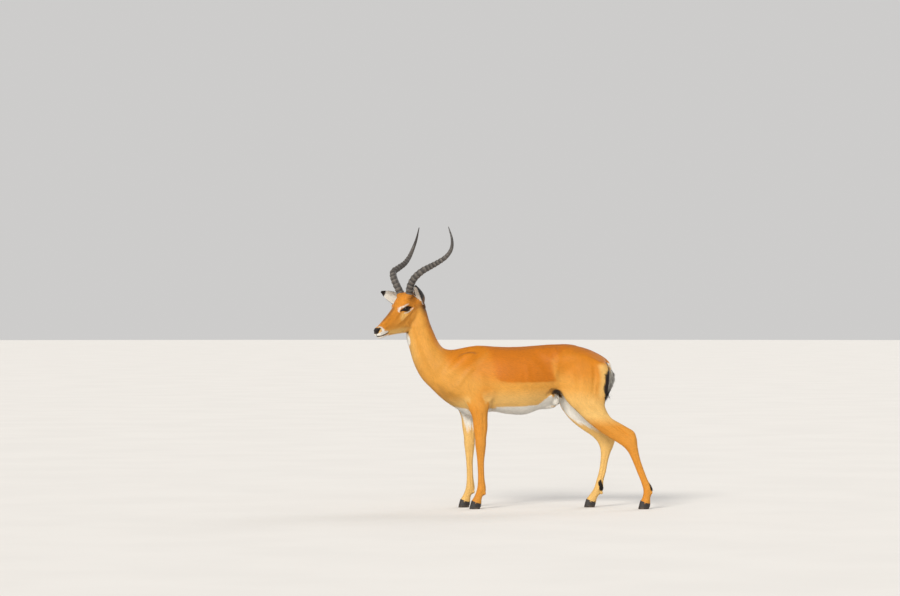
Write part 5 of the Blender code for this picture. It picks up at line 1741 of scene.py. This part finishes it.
CLAW = (
    # level over the sole, share of the length, lean ahead, share of the width
    (0.0, 0.88, 0.0, 0.8), (0.0, 0.975, 0.0, 0.96), (0.045, 1.0, 0.02, 1.0), (0.18, 0.985, 0.12, 0.995),
    (0.36, 0.965, 0.27, 0.985), (0.54, 0.945, 0.42, 0.97), (0.7, 0.92, 0.56, 0.96),
    (0.84, 0.9, 0.68, 0.955), (0.93, 0.885, 0.75, 0.975), (1.0, 0.86, 0.8, 0.95),
)


def hoof_rings(sections, side, shift, inner, settings):
    """One claw: a wall that flares to the ground, a flat sole, a groove under the coronet."""
    _, front, back, _, out = section(sections, "coronet")
    middle = np.array(((front[0] + back[0]) / 2 + shift, side * out, (front[1] + back[1]) / 2))
    width, split = settings.width, settings.split
    slope = math.tan(CORONET_SLOPE)
    angle = np.arange(48) * 2 * math.pi / 48
    c, s = np.cos(angle), np.sin(angle)
    rings = []
    for level, length, lean, breadth in CLAW:
        half = settings.length * length / 2
        x = middle[0] - 0.009 + lean * 0.01 + np.where(c > 0, -c, -c * 0.95) * half
        taper = 1 - 0.3 * np.maximum(c, 0) ** 1.5
        across = np.sign(s) * np.abs(s) ** 0.85 * width / 2 * taper * breadth
        y = middle[1] + inner * (width + split) / 2 + across
        gap = split / 2 + 0.0016 * soft(c, 0.3, 1.0)
        y = np.where(inner * (y - middle[1]) < gap, middle[1] + inner * gap, y)
        top = middle[2] - (x - middle[0]) * slope
        rings.append(np.stack([x, y, level * top], axis=1))
    return np.array(rings)


# ---- settings ----
def colour_setting(name, description, default):
    return FloatVectorProperty(name=name, description=description, subtype="COLOR", size=3, min=0, max=1,
                               default=default)


def length_setting(name, description, default):
    return FloatProperty(name=name, description=description, default=default, min=0, unit="LENGTH",
                         precision=4)


class ImpalaSkinSettings(PropertyGroup):
    voxel: length_setting("Fineness", "Size of the grid that joins the forms into one skin", 0.002)
    coat_depth: length_setting("Coat depth",
                               "How far the skin lies under the tips of the coat on the trunk", 0.004)
    eye_radius: length_setting("Eye radius", "Radius of the eyeball", 0.0195)
    eye_opening: FloatVectorProperty(name="Eye opening",
                                     description="Half length and half height between the lids", size=2,
                                     unit="LENGTH", default=(0.0188, 0.0128))
    lid: length_setting("Lid", "Thickness of the lids at their rims", 0.0022)
    triangles: IntProperty(name="Triangles", description="The most triangles that the skin keeps",
                           default=188000, min=1000)


class ImpalaCoatSettings(PropertyGroup):
    tan: colour_setting("Tan", "Neck and lower sides", (0.73, 0.335, 0.056))
    ruddy: colour_setting("Ruddy", "Back, haunches and face", (0.66, 0.215, 0.008))
    saddle: colour_setting("Saddle", "Dark saddle over the ribs", (0.6, 0.175, 0.006))
    pale: colour_setting("Pale", "Low flanks and jaw", (0.8, 0.49, 0.155))
    white: colour_setting("White", "Belly, throat, lips and brows", (0.84, 0.81, 0.74))
    black: colour_setting("Black", "Nose, ear tips and rump stripes", (0.014, 0.01, 0.009))
    # Dusk also colours the painted shade on the backs of the ears and in the groin folds.
    dusk: colour_setting("Dusk", "Backs of the ears and the temples", (0.04, 0.026, 0.018))
    blades: IntProperty(name="Blades", description="Blades of hair in the whole coat", default=366000,
                        min=100)
    most: IntProperty(name="Blades per piece", description="The most blades in one piece", default=47500,
                      min=100)
    width: length_setting("Blade width", "Width of a blade where the hair is longest", 0.00115)
    patch: FloatProperty(name="Patch", description="Size of a blade's patch on the unwrap", default=0.003,
                         min=0, precision=4)


class ImpalaEyeSettings(PropertyGroup):
    iris: colour_setting("Iris", "Colour of the iris", (0.012, 0.005, 0.002))
    iris_width: length_setting("Iris width", "Diameter of the iris", 0.033)
    pupil: FloatVectorProperty(name="Pupil", description="Length and height of the pupil", size=2,
                               unit="LENGTH", default=(0.017, 0.01))


class ImpalaHornSettings(PropertyGroup):
    base_radius: length_setting("Base radius", "Radius of the horn at the skull", 0.0196)
    tip_radius: length_setting("Tip radius", "Radius at the point", 0.0016)
    taper: FloatProperty(name="Taper",
                         description="Above 1, the horn stays thick and then narrows to its point",
                         default=1.9)
    ring_spacing: length_setting("Ring spacing", "Distance from one ridge to the next", 0.0225)
    ring_height: length_setting("Ring height", "How far the ridges stand out", 0.0031)
    rings_end: length_setting("Rings end", "Length of horn that carries ridges", 0.4)
    tip_starts: length_setting("Tip starts", "Length at which the dark smooth tip starts", 0.34)
    light: colour_setting("Ridges", "Worn tops of the ridges", (0.15, 0.132, 0.116))
    dark: colour_setting("Grooves", "Grooves and tip", (0.04, 0.035, 0.032))


class ImpalaHoofSettings(PropertyGroup):
    length: length_setting("Length", "Length of a claw on the ground", 0.056)
    width: length_setting("Width", "Width of one claw", 0.0215)
    split: length_setting("Split", "Gap between the two claws", 0.0035)
    colour: colour_setting("Wall", "Colour of the hoof wall", (0.014, 0.011, 0.01))


class ImpalaStageSettings(PropertyGroup):
    floor: colour_setting("Floor", "Colour of the floor", (0.8, 0.78, 0.75))
    lens: FloatProperty(name="Lens", description="Focal length of the camera", default=138.5, min=1,
                        unit="CAMERA")
    distance: length_setting("Distance", "Camera's distance from the animal's middle plane", 18.0)
    height: length_setting("Height", "Height of the camera", 1.05)
    aim: FloatVectorProperty(name="Aim", description="Place that the camera looks at, along and up",
                             size=2, unit="LENGTH", default=(-0.317, 1.092))
    key: FloatProperty(name="Key light", description="Strength of the main light", default=2.3, min=0)


# ---- operators ----
class IMPALA_OT_skin(Operator):
    """Build the skin: one surface from the muzzle and ears to the coronets, with its markings"""

    bl_idname = "impala.skin"
    bl_label = "Skin"

    def execute(self, context):
        skin = make_skin(context.scene.impala_skin)
        mark(skin)
        attribute(skin, "skin_normal", points_of(skin, normals=True), "FLOAT_VECTOR")
        move_points(skin, points_of(skin) + SHIFT)
        shade_smooth(skin)
        wear(skin, skin_material(context.scene.impala_coat))
        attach(skin, "root")
        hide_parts(*FLESH_NODES)
        return {"FINISHED"}


class IMPALA_OT_coat(Operator):
    """Grow the coat: thin flat blades that lie along the skin and carry its markings"""

    bl_idname = "impala.coat"
    bl_label = "Coat"

    def execute(self, context):
        settings = context.scene.impala_coat
        skin = bpy.data.objects["skin"]
        fewer, wider = ((1, 1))
        names, per_weight = share_out(skin, settings.blades // fewer, settings.most)
        tree = coat_nodes()
        material = tuft_material(settings)
        for number, (name, slot) in enumerate(names):
            piece = from_nodes(name, skin, tree, blades_per_area=per_weight,
                               blade_width=settings.width * wider, patch=settings.patch, plot=number,
                               seed=number + FIRST_SEED, material=material)
            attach(piece, "root")
        return {"FINISHED"}


class IMPALA_OT_eyes(Operator):
    """Set the two eyeballs in their lids"""

    bl_idname = "impala.eyes"
    bl_label = "Eyes"

    def execute(self, context):
        material = eye_material(context.scene.impala_eye)
        for left, node in ((1, "eye_left"), (-1, "eye_right")):
            eye = make_eye(left, context.scene.impala_skin.eye_radius)
            wear(eye, material)
            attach(eye, "root")
            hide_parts(node)
        return {"FINISHED"}


class IMPALA_OT_horns(Operator):
    """Sweep the two ringed horns along their curves"""

    bl_idname = "impala.horns"
    bl_label = "Horns"

    def execute(self, context):
        settings = context.scene.impala_horn
        tree = horn_nodes()
        material = horn_material(settings)
        for left, node in ((1, "horn_left"), (-1, "horn_right")):
            points = horn_points(left) + SHIFT
            path = mesh_object(f"{node} path", points, (), [(k, k + 1) for k in range(len(points) - 1)])
            horn = from_nodes(node.replace("horn", "horn_sheath"), path, tree,
                              base_radius=settings.base_radius, tip_radius=settings.tip_radius,
                              taper=settings.taper, ring_spacing=settings.ring_spacing,
                              ring_height=settings.ring_height, rings_end=settings.rings_end,
                              front=tuple(AHEAD * 0.85 + ASIDE * left * 0.3 - UPWARD * 0.2),
                              material=material)
            bpy.data.objects.remove(path)
            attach(horn, "root")
            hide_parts(node)
        return {"FINISHED"}


class IMPALA_OT_hooves(Operator):
    """Build the cloven hooves, two claws to each foot"""

    bl_idname = "impala.hooves"
    bl_label = "Hooves"

    def execute(self, context):
        settings = context.scene.impala_hoof
        material = hoof_material(settings)
        for foot, sections, side, shift, _ in FEET:
            limb, label = foot.replace("leg", "").split("_")
            for name, inner in (("outer", side), ("inner", -side)):
                points, faces = lofted(hoof_rings(sections, side, shift, inner, settings))
                claw = mesh_object(f"claw_{limb}_{label}_{name}", points + SHIFT, faces)
                shade_smooth(claw)
                claw.data.set_sharp_from_angle(angle=CLAW_CREASE)
                wear(claw, material)
                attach(claw, "root")
                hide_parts(f"hoof_{limb}_{label}_{name}")
        return {"FINISHED"}


class IMPALA_OT_stage(Operator):
    """Lay the pale floor and set the soft lights and the camera"""

    bl_idname = "impala.stage"
    bl_label = "Stage"

    def execute(self, context):
        settings = context.scene.impala_stage
        angle = np.arange(FLOOR_SIDES) * 2 * math.pi / FLOOR_SIDES
        points = np.stack([np.cos(angle) * FLOOR_RADIUS, np.sin(angle) * FLOOR_RADIUS, angle * 0], axis=1)
        floor = mesh_object("floor", points, [list(range(FLOOR_SIDES))])
        wear(floor, floor_material(settings))
        world = bpy.data.worlds.new("studio")
        world.use_nodes = True
        sky = world.node_tree.nodes["Background"]
        sky.inputs["Color"].default_value = SKY
        sky.inputs["Strength"].default_value = SKY_STRENGTH
        context.scene.world = world
        context.scene.view_settings.view_transform = "Standard"
        for name, place, width, share, colour in LAMPS:
            light = bpy.data.lights.new(name, "SUN")
            light.angle = math.radians(width)
            light.energy = settings.key * share
            light.color = colour
            lamp = linked(name, light)
            lamp.location = place
            lamp.rotation_euler = (Vector(LAMP_AIM) - Vector(place)).to_track_quat("-Z", "Y").to_euler()
        lens = bpy.data.cameras.new("camera")
        lens.lens = settings.lens
        lens.clip_end = FARTHEST
        camera = linked("camera", lens)
        aim = Vector((settings.aim[0] + SHIFT[0], SHIFT[1], settings.aim[1]))
        camera.location = (aim.x, aim.y - settings.distance, settings.height)
        camera.rotation_euler = (aim - camera.location).to_track_quat("-Z", "Y").to_euler()
        context.scene.camera = camera
        return {"FINISHED"}


class IMPALA_PT_panel(Panel):
    """The steps that build the impala, in order"""

    bl_idname = "IMPALA_PT_panel"
    bl_label = "Impala ram"
    bl_space_type = "VIEW_3D"
    bl_region_type = "UI"
    bl_category = "Impala"

    def draw(self, context):
        for settings, _, step in PARTS:
            box = self.layout.box()
            box.operator(step.bl_idname)
            group = getattr(context.scene, settings)
            for name in group.bl_rna.properties.keys():
                if name not in ("rna_type", "name"):
                    box.prop(group, name)


PARTS = (
    # name of the settings on the scene, their kind, the step that uses them
    ("impala_skin", ImpalaSkinSettings, IMPALA_OT_skin),
    ("impala_coat", ImpalaCoatSettings, IMPALA_OT_coat),
    ("impala_eye", ImpalaEyeSettings, IMPALA_OT_eyes),
    ("impala_horn", ImpalaHornSettings, IMPALA_OT_horns),
    ("impala_hoof", ImpalaHoofSettings, IMPALA_OT_hooves),
    ("impala_stage", ImpalaStageSettings, IMPALA_OT_stage),
)
NAMES, KINDS, STEPS = zip(*PARTS)


def register():
    for kind in (*KINDS, *STEPS, IMPALA_PT_panel):
        bpy.utils.register_class(kind)
    for name, kind in zip(NAMES, KINDS):
        setattr(bpy.types.Scene, name, PointerProperty(type=kind))


def unregister():
    for name in NAMES:
        delattr(bpy.types.Scene, name)
    for kind in (IMPALA_PT_panel, *reversed(STEPS), *reversed(KINDS)):
        bpy.utils.unregister_class(kind)


def main():
    register()
    bpy.ops.impala.skin()
    bpy.ops.impala.coat()
    bpy.ops.impala.eyes()
    bpy.ops.impala.horns()
    bpy.ops.impala.hooves()
    bpy.ops.impala.stage()


if __name__ == "__main__":
    main()
